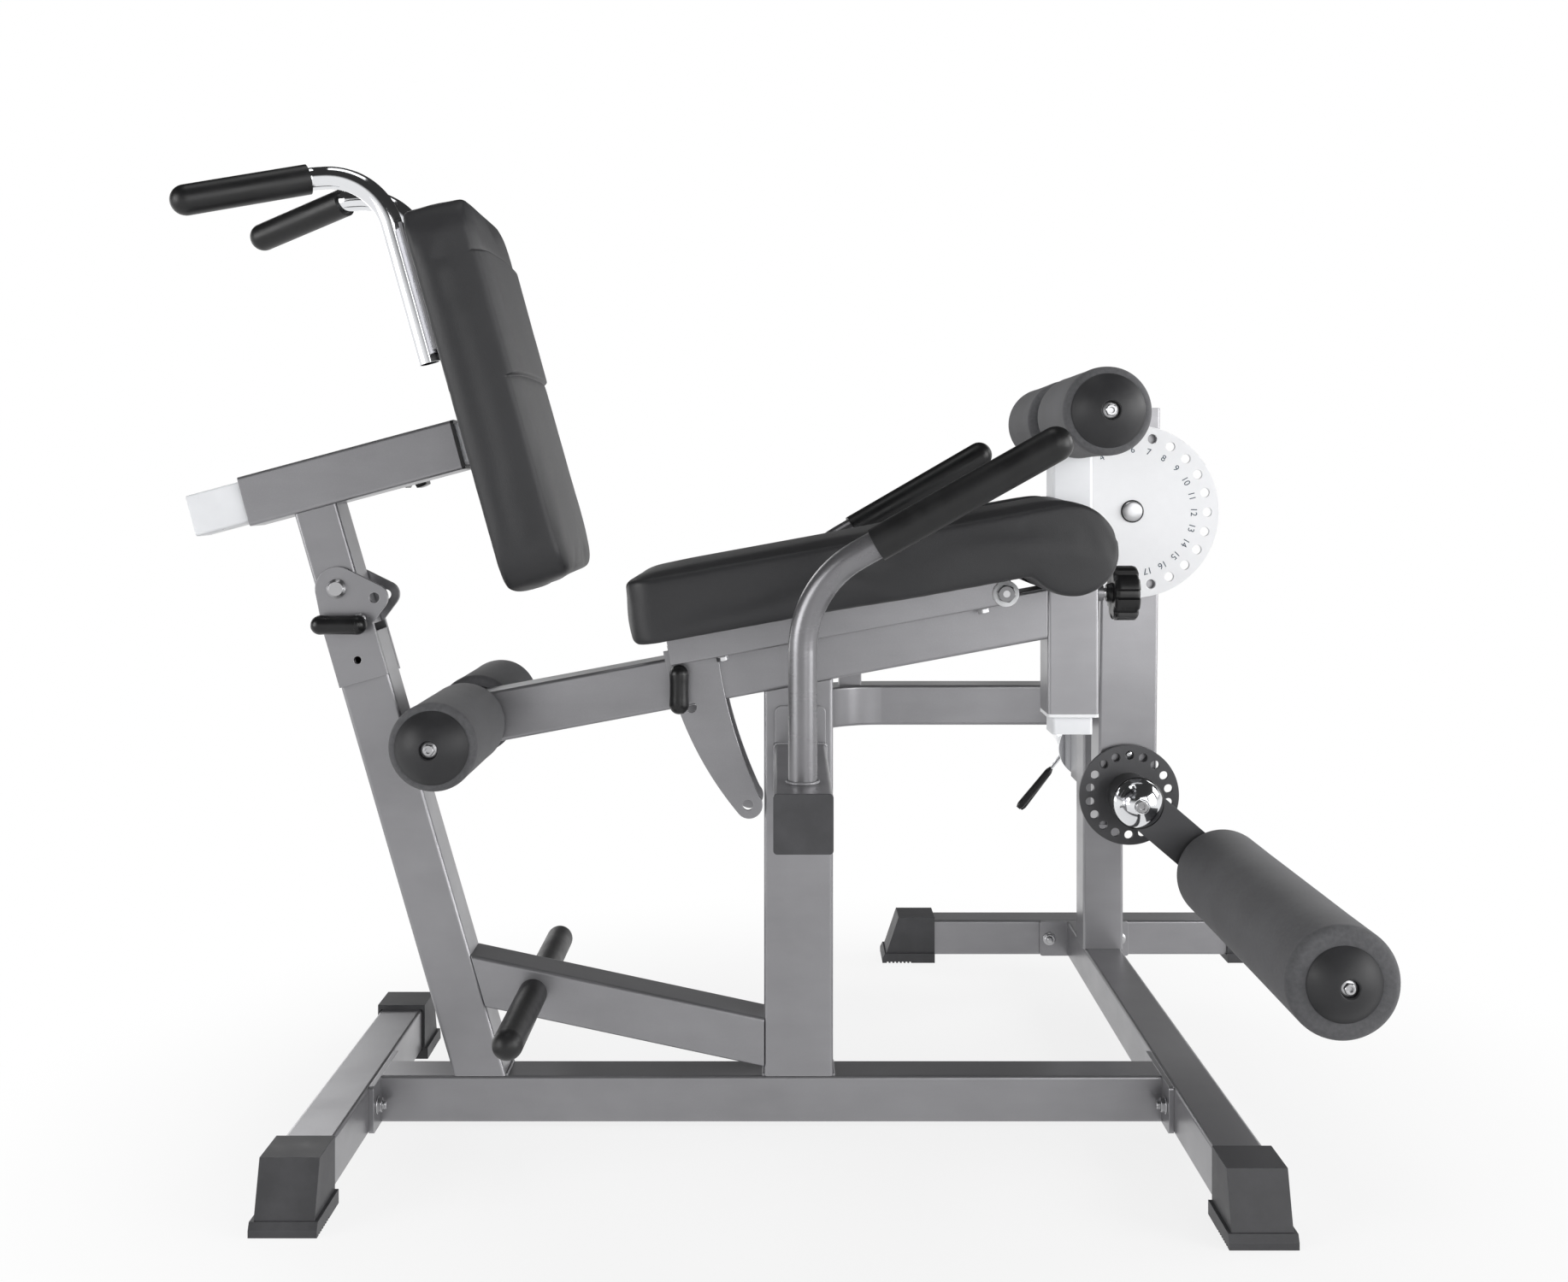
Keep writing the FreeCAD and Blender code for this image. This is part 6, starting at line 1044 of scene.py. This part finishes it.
room = {"floorSize": 7.0, "floorShade": 0.86, "whiteFrom": 0.45, "whiteTo": 1.15, "whiteNear": 0.82,
        "horizon": 0.5, "zenith": 0.03, "mirrorZenith": 0.04}
f = Finish("paleFloor")
paint = f.node("ShaderNodeBsdfDiffuse", {}, {"Color": (room["floorShade"],) * 3})
white = f.node("ShaderNodeEmission", {}, {"Color": (1.0, 1.0, 1.0), "Strength": 1.0})
fade = f.node("ShaderNodeMapRange", {"interpolation_type": "SMOOTHSTEP"},
              {0: f.apart(f.place(), tuple(at(100, 0, 0))), 1: room["whiteFrom"], 2: room["whiteTo"],
               3: room["whiteNear"], 4: 1.0})
ground = f.node("ShaderNodeMixShader", {}, {0: f.sees() * fade, 1: paint, 2: white})
f.links.new(ground.socket, f.nodes["Material Output"].inputs["Surface"])
edge = room["floorSize"]
floor = addMesh("floor", [(-edge, -edge, 0), (edge, -edge, 0), (edge, edge, 0), (-edge, edge, 0)],
                [(0, 1, 2, 3)], f.material, smooth=False)

world = bpy.data.worlds.new("studio")
world.use_nodes = True
scene.world = world
w = NodeTree(world.node_tree)
upward = w.node("ShaderNodeTexCoord", output="Generated")
height = w.node("ShaderNodeSeparateXYZ", {}, {0: upward}, output="Z")
shade = w.range(height, 0.0, 0.6, room["horizon"], room["zenith"])
mirrored = w.range(height, 0.03, 0.3, 1.0, room["mirrorZenith"])
seen = w.node("ShaderNodeLightPath", output="Is Camera Ray")
soft = w.node("ShaderNodeBackground", {}, {"Color": (0.97, 0.985, 1.0), "Strength": shade})
bright = w.node("ShaderNodeBackground", {},
                {"Color": (1.0, 1.0, 1.0), "Strength": mirrored.either(seen)})
sky = w.node("ShaderNodeMixShader", {}, {0: w.sees(), 1: soft, 2: bright})
w.links.new(sky.socket, w.nodes["World Output"].inputs["Surface"])

lamps = {
    "left": {"place": (-4500, -2700, 1300), "aim": (0, 0, 500), "size": 3.0, "power": 145},
    "right": {"place": (4700, -1900, 1500), "aim": (100, 0, 500), "size": 3.0, "power": 170},
    "front": {"place": (2300, -4600, 1600), "aim": (100, 0, 450), "size": 3.0, "power": 75},
    "back": {"place": (-3600, 3800, 1300), "aim": (0, 200, 500), "size": 3.0, "power": 45},
    "rearLeft": {"place": (-1900, 3200, 1900), "aim": (-560, -490, 115), "size": 1.4, "power": 14},
    "rearRight": {"place": (2200, 3200, 1900), "aim": (600, -490, 115), "size": 1.4, "power": 14},
    "over": {"place": (-500, 0, 3400), "aim": (-500, 0, 0), "size": 1.2, "power": 9},
    "rim": {"place": (4200, 1300, 2000), "aim": (-300, 0, 800), "size": 1.6, "power": 55},
}
for name, lamp in lamps.items():
    data = bpy.data.lights.new(name, "AREA")
    data.shape, data.size, data.energy = "SQUARE", lamp["size"], lamp["power"]
    made = bpy.data.objects.new(name, data)
    made.location = at(*lamp["place"])
    made.rotation_euler = (at(*lamp["aim"]) - made.location).to_track_quat("-Z", "Y").to_euler()
    scene.collection.objects.link(made)
scene.view_settings.view_transform = "Standard"
print("lights set")
